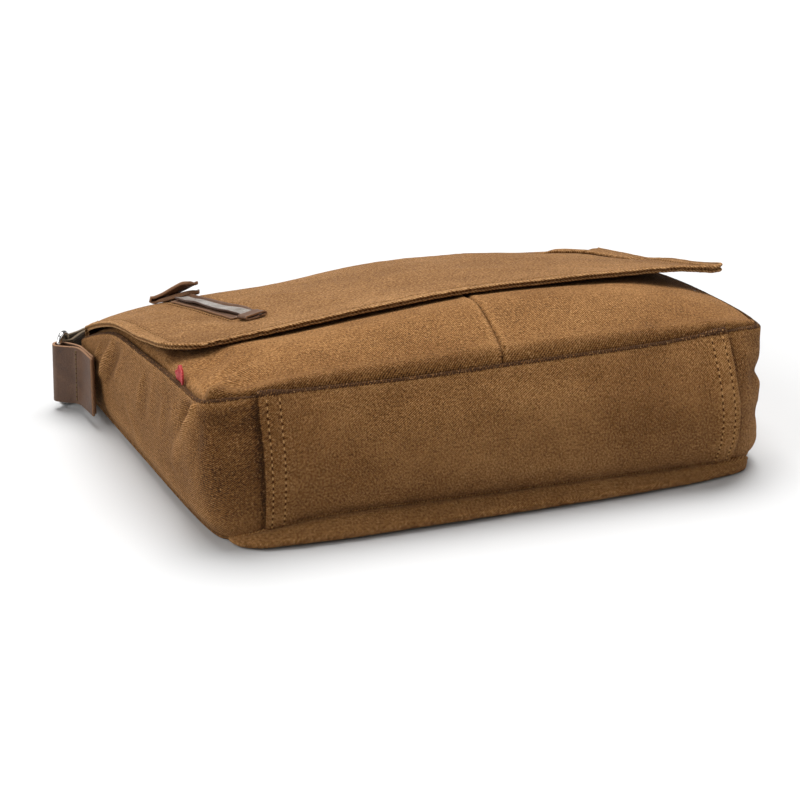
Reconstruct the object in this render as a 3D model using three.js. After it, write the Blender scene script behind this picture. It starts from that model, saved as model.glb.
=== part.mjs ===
// Canvas shoulder bag lying on its back, flap closed. Millimetres, +Z up.
// X runs across the bag, Y from its bottom (-) to its open top (+), Z is the height above the surface it lies on.
import * as THREE from 'three';

// Driving dimensions
const CLOTH = 2.0;          // canvas walls
const FLAP_CLOTH = 3.0;     // flap, two layers of canvas with a turned edge
const LEATHER = 1.8;        // leather tabs and straps
const GAP = 0.3;            // clearance between neighbouring pieces
const SEAM_S = 300;         // station of the left gusset / bottom seam, the right one is at S_END - SEAM_S
const S_END = 940;          // last station of the body table
const BACK_END_Y = 129;     // where the back panel meets the flap
const FLAP_EDGE_Y = -62;    // lower edge of the flap
const FLAP_CORNER_L = 24;   // radii of the flap's lower corners
const FLAP_CORNER_R = 9;
const CREST_Y = 143;        // line where the flap turns down over the top
const WEB_WIDTH = 40;       // shoulder strap
const WEB_THICK = 2.6;
const WIRE = 3.6;             // ring wire
const RING_LONG = 48.4;      // ring centre line, long way
const RING_SHORT = 12.1;    // ring centre line, short way
const RING_CORNER = 5.5;
const RING_Z = 26.4;        // height of the ring's centre
const BAR_A = [-205.0, 124.8];  // ring bar in the leather tab, plan
const BAR_B = [-197.0, 134.0];  // ring bar in the shoulder strap, plan
const TAB_WIDTH = 40;
const TAB_Z = 25.8;          // height of the middle of the tab and strap at the rings
const ORIGIN = [0, -21.62, 0];  // puts the origin under the middle of the bounding box, on the resting surface

// Body sections, round the bag from the left end of the open top over the bottom to the right end.
// s: station, b*: seam with the back panel, f*: seam with the front panel, out: how far the wall swells
// between them, roll: how far the back panel's rolled edge stands outside its seam.
const BODY = [
  { s: 0,   bx: -181,   by: 129,  bz: 5,    fx: -187.5, fy: 129,  fz: 43.5, out: 3,  roll: 0.8 },
  { s: 40,  bx: -181.5, by: 92,   bz: 5,    fx: -189,   fy: 92,   fz: 60.5, out: 3,  roll: 0.8 },
  { s: 85,  bx: -181.5, by: 50,   bz: 5,    fx: -189,   fy: 50,   fz: 75.5, out: 4,  roll: 0.8 },
  { s: 135, bx: -181.5, by: 0,    bz: 5,    fx: -190,   fy: 0,    fz: 83,   out: 5,  roll: 1 },
  { s: 190, bx: -181.5, by: -55,  bz: 4.5,  fx: -190.5, fy: -55,  fz: 90,   out: 6,  roll: 1 },
  { s: 232, bx: -180.5, by: -96,  bz: 4.2,  fx: -191,   fy: -98,  fz: 93.5, out: 7,  roll: 1 },
  { s: 255, bx: -178,   by: -119, bz: 4,    fx: -191.5, fy: -121, fz: 95.5, out: 8,  roll: 1.2 },
  { s: 272, bx: -172.5, by: -131, bz: 4.5,  fx: -189,   fy: -134, fz: 97,   out: 8,  roll: 3 },
  { s: 287, bx: -163,   by: -138, bz: 7,    fx: -176,   fy: -138, fz: 97.8, out: 7,  roll: 7 },
  { s: 300, bx: -153,   by: -141, bz: 10,   fx: -155.5, fy: -138, fz: 98,   out: 8,  roll: 9.5 },
  { s: 345, bx: -112,   by: -143, bz: 14.5, fx: -112,   fy: -138, fz: 98,   out: 10, roll: 12 },
  { s: 410, bx: -48,    by: -143, bz: 14,   fx: -48,    fy: -138, fz: 96.5, out: 12, roll: 12.5 },
  { s: 470, bx: 8,      by: -143, bz: 13,   fx: 8.5,    fy: -138, fz: 97,   out: 13, roll: 11.5 },
  { s: 530, bx: 65,     by: -143, bz: 12.5, fx: 68,     fy: -138, fz: 96.8, out: 14, roll: 10.5 },
  { s: 590, bx: 117,    by: -142, bz: 11,   fx: 117,    fy: -138, fz: 97,   out: 16, roll: 8.5 },
  { s: 640, bx: 162,    by: -140, bz: 10.5, fx: 160,    fy: -138, fz: 98,   out: 17, roll: 5 },
  { s: 656, bx: 173,    by: -137, bz: 9.5,  fx: 174,    fy: -137.5, fz: 97, out: 9,  roll: 3.5 },
  { s: 670, bx: 182,    by: -129, bz: 8,    fx: 186,    fy: -133, fz: 95,   out: 2.5, roll: 2 },
  { s: 687, bx: 185,    by: -114, bz: 6.5,  fx: 189.5,  fy: -120, fz: 93.5, out: 2,  roll: 1.2 },
  { s: 710, bx: 184,    by: -95,  bz: 5.5,  fx: 190,    fy: -97,  fz: 92.5, out: 4,  roll: 1 },
  { s: 750, bx: 182.5,  by: -55,  bz: 5,    fx: 190,    fy: -55,  fz: 88,   out: 5,  roll: 1 },
  { s: 805, bx: 181.5,  by: 0,    bz: 5,    fx: 189.5,  fy: 0,    fz: 80.5, out: 4,  roll: 1 },
  { s: 855, bx: 181.5,  by: 50,   bz: 5,    fx: 189,    fy: 50,   fz: 71,   out: 4,  roll: 0.8 },
  { s: 900, bx: 181.5,  by: 92,   bz: 5,    fx: 188.5,  fy: 92,   fz: 60.5, out: 3,  roll: 0.8 },
  { s: 940, bx: 181,    by: 129,  bz: 5,    fx: 187,    fy: 129,  fz: 48,   out: 3,  roll: 0.8 },
];

// Upper face of the flap: height on lines across the bag. x: station, z*: height at the crest and
// at y = 100, 50, 0 and at the lower edge; cy: the crest line, rounded off at its ends; yc: where the
// wrap round the top stands furthest out.
const FLAP = [
  { x: -190, zc: 44,   z100: 66,   z50: 84.5, z0: 94,   ze: 109.8, cy: 131,   yc: 134 },
  { x: -178, zc: 49,   z100: 67.5, z50: 85,   z0: 95,   ze: 108.4, cy: 137.5, yc: 140.8 },
  { x: -150, zc: 55.6, z100: 70,   z50: 84.5, z0: 95.2, ze: 108.4, cy: 142.5, yc: 147.5 },
  { x: -110, zc: 59.5, z100: 74,   z50: 87,   z0: 97,   ze: 110,   cy: 143,   yc: 149.5 },
  { x: -50,  zc: 61,   z100: 76.5, z50: 91.5, z0: 103.5, ze: 115,  cy: 143,   yc: 150.5 },
  { x: 20,   zc: 67,   z100: 81.5, z50: 96,   z0: 108.5, ze: 119.5, cy: 143,  yc: 151 },
  { x: 90,   zc: 65,   z100: 79.5, z50: 93.5, z0: 106,  ze: 117.5, cy: 143,   yc: 150.5 },
  { x: 150,  zc: 59,   z100: 73.5, z50: 87,   z0: 100,  ze: 114.5, cy: 142.5, yc: 147.5 },
  { x: 180,  zc: 57,   z100: 70.5, z50: 83,   z0: 97.5, ze: 113.3, cy: 140.5, yc: 140.8 },
  { x: 196,  zc: 57.5, z100: 70,   z50: 82.5, z0: 97,   ze: 113,   cy: 138.5, yc: 139.5 },
];
const FLAP_ROWS = [{ y: CREST_Y, k: 'zc' }, { y: 100, k: 'z100' }, { y: 50, k: 'z50' }, { y: 0, k: 'z0' }, { y: FLAP_EDGE_Y, k: 'ze' }];

// Folds of the canvas: a ridge (+) or valley (-) of the given height across its width, along a line in plan.
const FLAP_FOLDS = [
  { x1: -170, y1: 30,  x2: -135, y2: -25, h: 1.3, w: 9 },
  { x1: -160, y1: 75,  x2: -128, y2: 30,  h: -1.0, w: 8 },
  { x1: 60,   y1: 60,  x2: 120,  y2: 20,  h: 1.0, w: 14 },
];
const FRONT_FOLDS = [
  { x1: -186, y1: -128, x2: -146, y2: -84, h: 3.0, w: 7 },
  { x1: -180, y1: -96,  x2: -160, y2: -70, h: -3.0, w: 9 },
];

// Shoulder strap centre line between the rings: it leaves the left ring on edge, turns flat on the surface
// behind the bag, lies there in three flat layers and rises on edge to the right ring. tilt: 90 on edge, 0 flat.
const WEB = [
  { x: -163, y: 157.5, z: 23.0, tilt: 76 },
  { x: -143, y: 168,   z: 17.5, tilt: 50 },
  { x: -120, y: 175.5, z: 10.5, tilt: 24 },
  { x: -98,  y: 179.5, z: 4.2,  tilt: 6 },
  { x: -78,  y: 181,   z: 1.9,  tilt: 0 },
  { x: -20,  y: 182,   z: 1.6,  tilt: 0 },
  { x: 60,   y: 182,   z: 1.6,  tilt: 0 },
  { x: 112,  y: 182,   z: 1.6,  tilt: 0 },
  { x: 120,  y: 182,   z: 2.3,  tilt: 0 },
  { x: 123.5, y: 182,  z: 5.0,  tilt: 0 },
  { x: 120,  y: 182,   z: 7.7,  tilt: 0 },
  { x: 110,  y: 182,   z: 7.4,  tilt: 0 },
  { x: 90,   y: 182,   z: 4.8,  tilt: 0 },
  { x: 40,   y: 182,   z: 4.4,  tilt: 0 },
  { x: -30,  y: 182,   z: 4.4,  tilt: 0 },
  { x: -57,  y: 182,   z: 4.5,  tilt: 0 },
  { x: -65,  y: 182,   z: 5.4,  tilt: 0 },
  { x: -68.5, y: 182,  z: 8.1,  tilt: 0 },
  { x: -65,  y: 182,   z: 10.8, tilt: 0 },
  { x: -55,  y: 182,   z: 10.5, tilt: 0 },
  { x: -35,  y: 182,   z: 7.9,  tilt: 0 },
  { x: 20,   y: 182,   z: 7.5,  tilt: 0 },
  { x: 75,   y: 181.5, z: 8.4,  tilt: 0 },
  { x: 100,  y: 179.5, z: 12.5, tilt: -6 },
  { x: 122,  y: 175.5, z: 18.5, tilt: -28 },
  { x: 143,  y: 168,   z: 24,   tilt: -56 },
  { x: 163,  y: 157.5, z: 25.8, tilt: -80 },
];

const V = (x, y, z) => new THREE.Vector3(x, y, z);
const clamp = (v, a, b) => Math.min(b, Math.max(a, v));
const smooth = (t) => { t = clamp(t, 0, 1); return t * t * (3 - 2 * t); };
const mix = (a, b, t) => a + (b - a) * t;

// Smooth curve through a table's rows: the value of column col where column key is k.
function along(rows, key, k, col) {
  const n = rows.length;
  let i = 0;
  while (i < n - 2 && k > rows[i + 1][key]) i++;
  const slope = (j) => {
    const a = Math.max(0, j - 1), b = Math.min(n - 1, j + 1);
    return (rows[b][col] - rows[a][col]) / (rows[b][key] - rows[a][key]);
  };
  const h = rows[i + 1][key] - rows[i][key];
  const t = clamp((k - rows[i][key]) / h, 0, 1), t2 = t * t, t3 = t2 * t;
  return (2 * t3 - 3 * t2 + 1) * rows[i][col] + (t3 - 2 * t2 + t) * h * slope(i)
    + (-2 * t3 + 3 * t2) * rows[i + 1][col] + (t3 - t2) * h * slope(i + 1);
}

// Height of the folds at a point of the plan.
function folds(list, x, y) {
  let z = 0;
  for (const f of list) {
    const dx = f.x2 - f.x1, dy = f.y2 - f.y1, L2 = dx * dx + dy * dy;
    const t = clamp(((x - f.x1) * dx + (y - f.y1) * dy) / L2, 0, 1);
    const d = Math.hypot(x - f.x1 - dx * t, y - f.y1 - dy * t) / f.w;
    z += f.h * Math.exp(-d * d) * (0.35 + 0.65 * Math.sin(Math.PI * clamp(t, 0.05, 0.95)));
  }
  return z;
}

// A surface as points and four-sided faces, turned into a closed wall of even thickness about it.
// level, if given, changes the direction of the thickness at a point, so that edges meet square.
function wall(points, faces, thick, level) {
  const n = points.length, normals = points.map(() => V(0, 0, 0));
  const e1 = V(0, 0, 0), e2 = V(0, 0, 0);
  for (const f of faces) {
    e1.subVectors(points[f[2]], points[f[0]]); e2.subVectors(points[f[3]], points[f[1]]);
    const c = e1.clone().cross(e2);
    for (const i of f) normals[i].add(c);
  }
  if (level) normals.forEach((m, i) => level(m, i));
  const out = [], tris = [];
  for (const side of [1, -1]) points.forEach((p, i) => out.push(p.clone().addScaledVector(normals[i].clone().normalize(), side * thick / 2)));
  const edges = new Map();
  for (const [a, b, c, d] of faces) {
    const k = points[a].distanceTo(points[c]) <= points[b].distanceTo(points[d]);
    for (const [p, q, r] of k ? [[a, b, c], [a, c, d]] : [[a, b, d], [b, c, d]]) {
      tris.push([p, q, r], [n + p, n + r, n + q]);
      for (const [u, v] of [[p, q], [q, r], [r, p]]) edges.set(u + ',' + v, [u, v]);
    }
  }
  for (const [u, v] of edges.values()) if (!edges.has(v + ',' + u)) tris.push([u, n + u, n + v], [u, n + v, v]);
  return solid(out, tris);
}

function solid(points, tris) {
  const g = new THREE.BufferGeometry();
  g.setAttribute('position', new THREE.Float32BufferAttribute(points.flatMap((p) => [p.x, p.y, p.z]), 3));
  g.setIndex(tris.flat());
  g.computeVertexNormals();
  return g;
}

// Points of fn(u, v) over two lists of parameters, with the faces between them.
function grid(us, vs, fn) {
  const points = [], faces = [];
  for (const v of vs) for (const u of us) points.push(fn(u, v));
  const w = us.length;
  for (let j = 0; j + 1 < vs.length; j++) for (let i = 0; i + 1 < w; i++) faces.push([j * w + i, j * w + i + 1, (j + 1) * w + i + 1, (j + 1) * w + i]);
  return { points, faces };
}
const steps = (a, b, n) => Array.from({ length: n + 1 }, (_, i) => mix(a, b, i / n));

// Seams of the body.
const back = (s) => V(along(BODY, 's', s, 'bx'), along(BODY, 's', s, 'by'), along(BODY, 's', s, 'bz'));
const front = (s) => V(along(BODY, 's', s, 'fx'), along(BODY, 's', s, 'fy'), along(BODY, 's', s, 'fz'));
function outward(s, v = 0.5) {
  const a = Math.max(0, s - 3), b = Math.min(S_END, s + 3);
  const t = back(b).lerp(front(b), v).sub(back(a).lerp(front(a), v));
  return V(t.y, -t.x, 0).normalize();
}

// Gusset and bottom wall: v is 0 at the back seam and 1 at the front seam.
function side(s, v) {
  const swell = Math.sin(Math.PI * Math.pow(v, 0.85));
  return back(s).lerp(front(s), v).addScaledVector(outward(s), along(BODY, 's', s, 'out') * swell);
}
const sideStations = (a, b) => {
  const inner = BODY.flatMap((r, i) => i + 1 < BODY.length ? [r.s, (r.s + BODY[i + 1].s) / 2] : [r.s]);
  return [a, ...inner.filter((s) => s > a + 3 && s < b - 3), b];
};
function sidePanel(a, b) {
  const ss = sideStations(a, b), vs = [0, 0.12, 0.3, 0.5, 0.7, 0.88, 1], m = ss.length;
  const g = grid(ss, vs, (s, v) => side(s, v));
  return wall(g.points, g.faces, CLOTH, (n, i) => {
    if (i % m === 0 && a > 0) n.copy(outward(a, vs[Math.floor(i / m)]));
    if (i % m === m - 1 && b < S_END) n.copy(outward(b, vs[Math.floor(i / m)]));
    if (i < m || i >= m * (vs.length - 1)) n.z = 0;
  });
}

// Back panel: a shallow tray, its edge rolled up to the back seam on three sides.
const EDGE_OUT = CLOTH / 2 + GAP + 0.9;            // the rolled edge ends against the outside of the wall
function backPanel() {
  const ss = sideStations(0, S_END);
  const ring = [
    { out: 0, z: 1 }, { out: 0.7, z: 0.8 }, { out: 1, z: 0.45 }, { out: 0.8, z: 0.12 },
    { out: 0.2, z: 0 }, { out: -1.2, z: 0 },
  ];
  const points = [], faces = [], m = ss.length;
  for (const r of ring) for (const s of ss) {
    const b = back(s), roll = along(BODY, 's', s, 'roll');
    const p = b.clone().addScaledVector(outward(s, 0), r.out >= 0 ? mix(EDGE_OUT, EDGE_OUT + roll, r.out) : r.out * 9);
    p.z = mix(CLOTH / 2, b.z - 1.2, r.z);
    points.push(p);
  }
  for (let j = 0; j + 1 < ring.length; j++) for (let i = 0; i + 1 < m; i++) faces.push([j * m + i, (j + 1) * m + i, (j + 1) * m + i + 1, j * m + i + 1]);
  // the flat middle, in rows between the two sides
  const last = (ring.length - 1) * m;
  let left = 0;
  while (ss[left] < 270) left++;
  let right = m - 1;
  const cols = right - left;
  const rowsUp = left;                               // rows of the side columns above the bottom row
  const bottomRow = Array.from({ length: m - 2 * rowsUp }, (_, i) => last + rowsUp + i);
  let previous = bottomRow;
  for (let r = rowsUp - 1; r >= 0; r--) {
    const a = last + r, b = last + m - 1 - r;
    const row = bottomRow.map((q, i) => {
      if (i === 0) return a;
      if (i === bottomRow.length - 1) return b;
      const u = (points[q].x - points[bottomRow[0]].x) / (points[bottomRow[bottomRow.length - 1]].x - points[bottomRow[0]].x);
      points.push(points[a].clone().lerp(points[b], u));
      return points.length - 1;
    });
    for (let i = 0; i + 1 < row.length; i++) faces.push([previous[i], previous[i + 1], row[i + 1], row[i]].reverse());
    previous = row;
  }
  return wall(points, faces, CLOTH);
}

// Upper face of the flap in front of its crest.
function flapTop(x, y) {
  const rows = FLAP_ROWS.map((r) => ({ y: r.y, z: along(FLAP, 'x', clamp(x, -192, 196), r.k) })).reverse();
  return along(rows, 'y', clamp(y, FLAP_EDGE_Y, CREST_Y), 'z') + folds(FLAP_FOLDS, x, y);
}
function flapNormal(x, y) {
  return V(flapTop(x - 1, y) - flapTop(x + 1, y), flapTop(x, y - 1) - flapTop(x, y + 1), 2).normalize();
}
const onFlap = (x, y, h) => V(x, y, flapTop(x, y)).addScaledVector(flapNormal(x, y), h);

// Side edges of the flap, with its rounded lower corners.
function flapSide(y, sign) {
  const d = y - FLAP_EDGE_Y;
  const r = sign < 0 ? FLAP_CORNER_L : FLAP_CORNER_R;
  const cut = d < r ? r - Math.sqrt(Math.max(0, r ** 2 - (r - d) ** 2)) : 0;
  return sign < 0 ? mix(-182.5, -190, smooth((CREST_Y - y) / 30)) + cut : mix(193, 196, smooth((CREST_Y - y) / 80)) - cut;
}
function flapPanel() {
  const us = [0, 0.012, 0.04, 0.1, ...steps(0.16, 0.84, 10), 0.9, 0.96, 0.988, 1];
  const ys = [0, 1, 3, 6.5, 11, 17, 25, 44, 62, 82, 104, 126, 148, 168, 188, 204].map((d) => FLAP_EDGE_Y + d);
  const wrap = 10;
  const vs = [...Array.from({ length: wrap }, (_, i) => ({ w: i / wrap })), ...ys.slice().reverse().map((y) => ({ y }))];
  const crest = (x) => along(FLAP, 'x', clamp(x, -190, 194), 'cy');
  const g = grid(us, vs, (u, v) => {
    const half = FLAP_CLOTH / 2;
    if (v.y !== undefined) {
      const x = mix(flapSide(v.y, -1), flapSide(v.y, 1), u);
      const y = v.y - (CREST_Y - crest(x)) * smooth((v.y - 60) / (CREST_Y - 60));
      return V(x, y, flapTop(x, y) - half);
    }
    // round the open top: out of the back panel, up and over to the crest
    const x = mix(mix(-180.5, -182.5, v.w), mix(181, 193, v.w < 0.8 ? v.w * 0.1 : mix(0.08, 1, smooth((v.w - 0.8) / 0.2))), u);
    const cy = crest(x), zc = flapTop(x, cy) - half, yc = along(FLAP, 'x', x, 'yc') - half, zm = zc * 0.5;
    const a = v.w * Math.PI;
    if (a <= Math.PI / 2) return V(x, mix(BACK_END_Y + 3 * GAP, Math.max(yc, BACK_END_Y + 1.2), Math.sin(a)), mix(half, zm, 1 - Math.cos(a)));
    return V(x, mix(cy, Math.max(yc, BACK_END_Y + 1.2), Math.sin(a)), mix(zm, zc, -Math.cos(a)));
  });
  return wall(g.points, g.faces.map((f) => f.slice().reverse()), FLAP_CLOTH);
}

// Front panel: a low pillow between the seams, pressed flat where the flap lies on it.
const S_CORNER_L = 276, S_CORNER_R = 669;
const SEAM_X = 7.5, SEAM_LEAN = 0.09;              // centre seam: place at the bottom, slant going up
function frontPoint(u, v) {
  const lift = GAP + CLOTH / 2 + 0.15;
  const rim = (s) => front(s).addScaledVector(outward(s, 1), CLOTH / 2 - 0.1);
  const top = (q) => rim(0).lerp(rim(S_END), q);
  const L = rim(mix(S_CORNER_L, 12, v)), R = rim(mix(S_CORNER_R, S_END - 12, v)), B = rim(mix(S_CORNER_L, S_CORNER_R, u));
  const T = rim(12).lerp(rim(S_END - 12), u);
  const c00 = rim(S_CORNER_L), c10 = rim(S_CORNER_R), c01 = rim(12), c11 = rim(S_END - 12);
  const p = L.multiplyScalar(1 - u).addScaledVector(R, u).addScaledVector(B, 1 - v).addScaledVector(T, v)
    .addScaledVector(c00, -(1 - u) * (1 - v)).addScaledVector(c10, -u * (1 - v)).addScaledVector(c01, -(1 - u) * v).addScaledVector(c11, -u * v);
  const edge = Math.min(u, 1 - u);
  const acrossCrown = 1 - Math.pow(1 - 2 * edge, 2.4);
  const upCrown = 1 - Math.pow(1 - clamp(v / 0.3, 0, 1), 2.3);
  p.z += lift + 26 * acrossCrown * upCrown + folds(FRONT_FOLDS, p.x, p.y) * smooth((edge - 0.01) / 0.02) * smooth((v - 0.015) / 0.03);
  // stay under the flap
  const roof = flapTop(clamp(p.x, -190, 194), Math.max(p.y, FLAP_EDGE_Y)) - FLAP_CLOTH - 1.3 - CLOTH / 2 + 0.28 * Math.max(0, FLAP_EDGE_Y - p.y);
  const over = p.z - roof;
  const soft = 3 * smooth(edge / 0.06) + 0.2;
  if (over > -soft) p.z = roof - (over > soft ? 0 : (soft - over) ** 2 / (4 * soft));
  return p;
}
function centreSeam(v) {                            // share of the width where the slanting centre seam runs
  let a = 0.3, b = 0.7;
  for (let i = 0; i < 24; i++) {
    const m = (a + b) / 2, p = frontPoint(m, v);
    if (p.x < SEAM_X + SEAM_LEAN * (p.y + 138)) a = m; else b = m;
  }
  return (a + b) / 2;
}
function frontPanel(sign) {
  const vs = [0, 0.014, 0.035, 0.07, 0.12, 0.18, 0.25, 0.32, 0.4, 0.5, 0.6, 0.7, 0.8, 0.9, 1];
  const half = sign < 0 ? [0, 0.022, 0.06, 0.12, 0.2, 0.32, 0.46, 0.62, 0.8, 0.94, 1] : [0, 0.06, 0.2, 0.38, 0.54, 0.68, 0.8, 0.88, 0.94, 0.978, 1];
  const g = grid(half, vs, (q, v) => {
    const c = centreSeam(v), cut = 0.2 / 380;
    return frontPoint(sign < 0 ? q * (c - cut) : mix(c + cut, 1, q), v);
  });
  const m = half.length, rim = sign < 0 ? 0 : m - 1;
  return wall(g.points, g.faces, CLOTH, (n, i) => { if (i < m || i % m === rim) n.set(0, 0, 1); });
}

// A flat band: rows of a centre point and the direction of its width, with a rectangular section.
function band(rows, width, thick, ends = 0) {
  const n = rows.length, pts = [], tris = [];
  rows.forEach((r, i) => {
    const a = rows[Math.max(0, i - 1)].p, b = rows[Math.min(n - 1, i + 1)].p;
    const t = b.clone().sub(a).normalize();
    const w = r.w.clone().addScaledVector(t, -r.w.dot(t)).normalize();
    const m = t.clone().cross(w);
    const k = (r.width || width) / 2;
    for (const [su, sv] of [[-1, -1], [1, -1], [1, 1], [-1, 1]]) pts.push(r.p.clone().addScaledVector(w, su * k).addScaledVector(m, sv * thick / 2));
  });
  for (let i = 0; i + 1 < n; i++) for (let k = 0; k < 4; k++) {
    const a = 4 * i + k, b = 4 * i + (k + 1) % 4;
    tris.push([a, b, b + 4], [a, b + 4, a + 4]);
  }
  tris.push([0, 3, 2], [0, 2, 1]);
  const e = 4 * (n - 1);
  tris.push([e, e + 1, e + 2], [e, e + 2, e + 3]);
  return solid(pts, tris);
}

// A round wire along a closed path.
function hoop(path, radius, sides = 10) {
  const n = path.length, pts = [], tris = [];
  const centre = path.reduce((a, p) => a.add(p), V(0, 0, 0)).divideScalar(n);
  const axis = path[0].clone().sub(centre).cross(path[Math.floor(n / 4)].clone().sub(centre)).normalize();
  path.forEach((p, i) => {
    const t = path[(i + 1) % n].clone().sub(path[(i + n - 1) % n]).normalize();
    const o = t.clone().cross(axis);
    for (let k = 0; k < sides; k++) {
      const a = 2 * Math.PI * k / sides;
      pts.push(p.clone().addScaledVector(o, radius * Math.cos(a)).addScaledVector(axis, radius * Math.sin(a)));
    }
  });
  for (let i = 0; i < n; i++) for (let k = 0; k < sides; k++) {
    const j = (i + 1) % n, l = (k + 1) % sides;
    tris.push([i * sides + k, j * sides + k, j * sides + l], [i * sides + k, j * sides + l, i * sides + l]);
  }
  return solid(pts, tris);
}

// Points round part of a circle in plan.
const arc = (c, r, from, to, n) => steps(from, to, n).map((a) => [c[0] + r * Math.cos(a * Math.PI / 180), c[1] + r * Math.sin(a * Math.PI / 180)]);

const mirror = (sign) => (p) => V(sign * p.x, p.y, p.z);

// Ring: two long bars with rounded ends, upright.
function ring(sign) {
  const e = [(BAR_B[0] - BAR_A[0]) / RING_SHORT, (BAR_B[1] - BAR_A[1]) / RING_SHORT];
  const c = [(BAR_A[0] + BAR_B[0]) / 2, (BAR_A[1] + BAR_B[1]) / 2];
  const path = [], hx = RING_SHORT / 2, hz = RING_LONG / 2, r = RING_CORNER;
  for (const [cx, cz, a0] of [[hx - r, hz - r, 0], [r - hx, hz - r, 90], [r - hx, r - hz, 180], [hx - r, r - hz, 270]])
    for (const a of steps(a0, a0 + 90, 5)) {
      const q = [cx + r * Math.cos(a * Math.PI / 180), cz + r * Math.sin(a * Math.PI / 180)];
      path.push(V(c[0] + e[0] * q[0], c[1] + e[1] * q[0], RING_Z + q[1]));
    }
  return orient(hoop(path.map(mirror(sign)), WIRE / 2));
}

// Leather tab: sewn flat on the gusset, folded round the ring's bar, back over itself.
const TAB_IN_X = -193.3, TAB_START_Y = 82;
function ringTab(sign) {
  const outX = TAB_IN_X - LEATHER - GAP, r = WIRE / 2 + 1.1 + LEATHER / 2;
  const plan = [
    [TAB_IN_X, TAB_START_Y + 4], [TAB_IN_X, 96], [TAB_IN_X, 108], [TAB_IN_X - 0.3, 115], [TAB_IN_X - 2.6, 120.3], [TAB_IN_X - 6, 124.6],
    ...arc(BAR_A, r, 54, 238, 10), [-202, 117.8], [-198.2, 115], [outX - 0.9, 112.3], [outX, 107.5], [outX, 96], [outX, TAB_START_Y],
  ];
  // the sewn part follows the gusset down towards the back of the bag
  const rows = plan.map(([x, y]) => ({ p: V(sign * x, y, mix(TAB_Z, 28.5, smooth((122 - y) / 40))), w: V(0, 0, 1) }));
  return orient(band(rows, TAB_WIDTH, LEATHER));
}

// Shoulder strap: sewn loop round each ring bar and one run between them.
function shoulderStrap() {
  const d = [0.82, 0.572], q = [-0.572, 0.82], r = WIRE / 2 + 1.1 + WEB_THICK / 2, lay = WEB_THICK / 2 + GAP / 2;
  const at = (u, v) => [BAR_B[0] + d[0] * u + q[0] * v, BAR_B[1] + d[1] * u + q[1] * v];
  const turn = Math.atan2(d[1], d[0]) * 180 / Math.PI;
  const loop = [at(31, -lay), at(22, -lay), at(14, -lay - 0.2), at(8, -lay - 1.3), ...arc(BAR_B, r, turn - 70, turn - 290, 11), at(8, lay + 1.3), at(14, lay + 0.2), at(22, lay)];
  const left = loop.map(([x, y]) => ({ p: V(x, y, TAB_Z), w: V(0, 0, 1) }));
  const right = loop.slice().reverse().map(([x, y]) => ({ p: V(-x, y, TAB_Z), w: V(0, 0, 1) }));
  const c = new THREE.CatmullRomCurve3(WEB.map((r) => V(r.x, r.y, r.z)), false, 'centripetal');
  const run = [];
  for (let i = 0; i < WEB.length; i++) {
    const sub = i + 1 < WEB.length ? 2 : 1;
    for (let k = 0; k < sub; k++) {
      const t = (i + k / sub) / (WEB.length - 1);
      const tilt = mix(WEB[i].tilt, WEB[Math.min(i + 1, WEB.length - 1)].tilt, k / sub) * Math.PI / 180;
      run.push({ p: c.getPoint(t), tilt });
    }
  }
  // width direction: sideways on the surface, turned up on edge near the rings
  let flip = 1;
  run.forEach((row, i) => {
    const a = run[Math.max(0, i - 1)].p, b = run[Math.min(run.length - 1, i + 1)].p;
    const h = V(b.x - a.x, b.y - a.y, 0);
    row.level = V(0, 1, 0);
    if (h.x * h.x + h.y * h.y > 1e-6) { h.normalize(); row.level = V(-h.y, h.x, 0); if (row.level.y < 0) row.level.negate(); }
    const t = row.tilt;
    row.w = row.level.clone().multiplyScalar(Math.cos(t)).add(V(0, 0, Math.sin(t)));
  });
  for (const r of right) r.w = V(0, 0, -1);
  return orient(band([...left, ...run, ...right], WEB_WIDTH, WEB_THICK));
}

// Turns a closed body's faces outward if they point in.
function orient(g) {
  const p = g.getAttribute('position'), ix = g.getIndex(), a = V(0, 0, 0), b = V(0, 0, 0), c = V(0, 0, 0);
  let v = 0;
  for (let i = 0; i < ix.count; i += 3) {
    a.fromBufferAttribute(p, ix.getX(i)); b.fromBufferAttribute(p, ix.getX(i + 1)); c.fromBufferAttribute(p, ix.getX(i + 2));
    v += a.dot(b.clone().cross(c));
  }
  if (v < 0) {
    const arr = Array.from(ix.array);
    for (let i = 0; i < arr.length; i += 3) [arr[i + 1], arr[i + 2]] = [arr[i + 2], arr[i + 1]];
    g.setIndex(arr);
    g.computeVertexNormals();
  }
  return g;
}

// Leather strap and its base on the flap: middle line x and half width of each along y. Both swing out towards the keeper.
const STRIPS = [
  { y: -8, strapX: -112.3, strap: 4.3, baseX: -115.6, base: 9.2 },
  { y: 8.5, strapX: -114.9, strap: 4.3, baseX: -116.8, base: 9.4 },
  { y: 25, strapX: -118.2, strap: 4.2, baseX: -118.8, base: 8.6 },
  { y: 41, strapX: -121, strap: 4.1, baseX: -121.2, base: 7.8 },
  { y: 66, strapX: -122.6, strap: 4, baseX: -122.8, base: 7.2 },
  { y: 136, strapX: -122.8, strap: 4, baseX: -122.8, base: 7.2 },
];

// Leather strip lying on the flap from y1 to y2, its middle h above the cloth.
function strip(name, y1, y2, n, h, thick) {
  const g = grid([0, 0.5, 1], steps(0, 1, n), (u, v) => {
    const y = mix(y1, y2, v);
    return onFlap(along(STRIPS, 'y', y, `${name}X`) + (2 * u - 1) * along(STRIPS, 'y', y, name), y, h);
  });
  return orient(wall(g.points, g.faces, thick));
}

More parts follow.
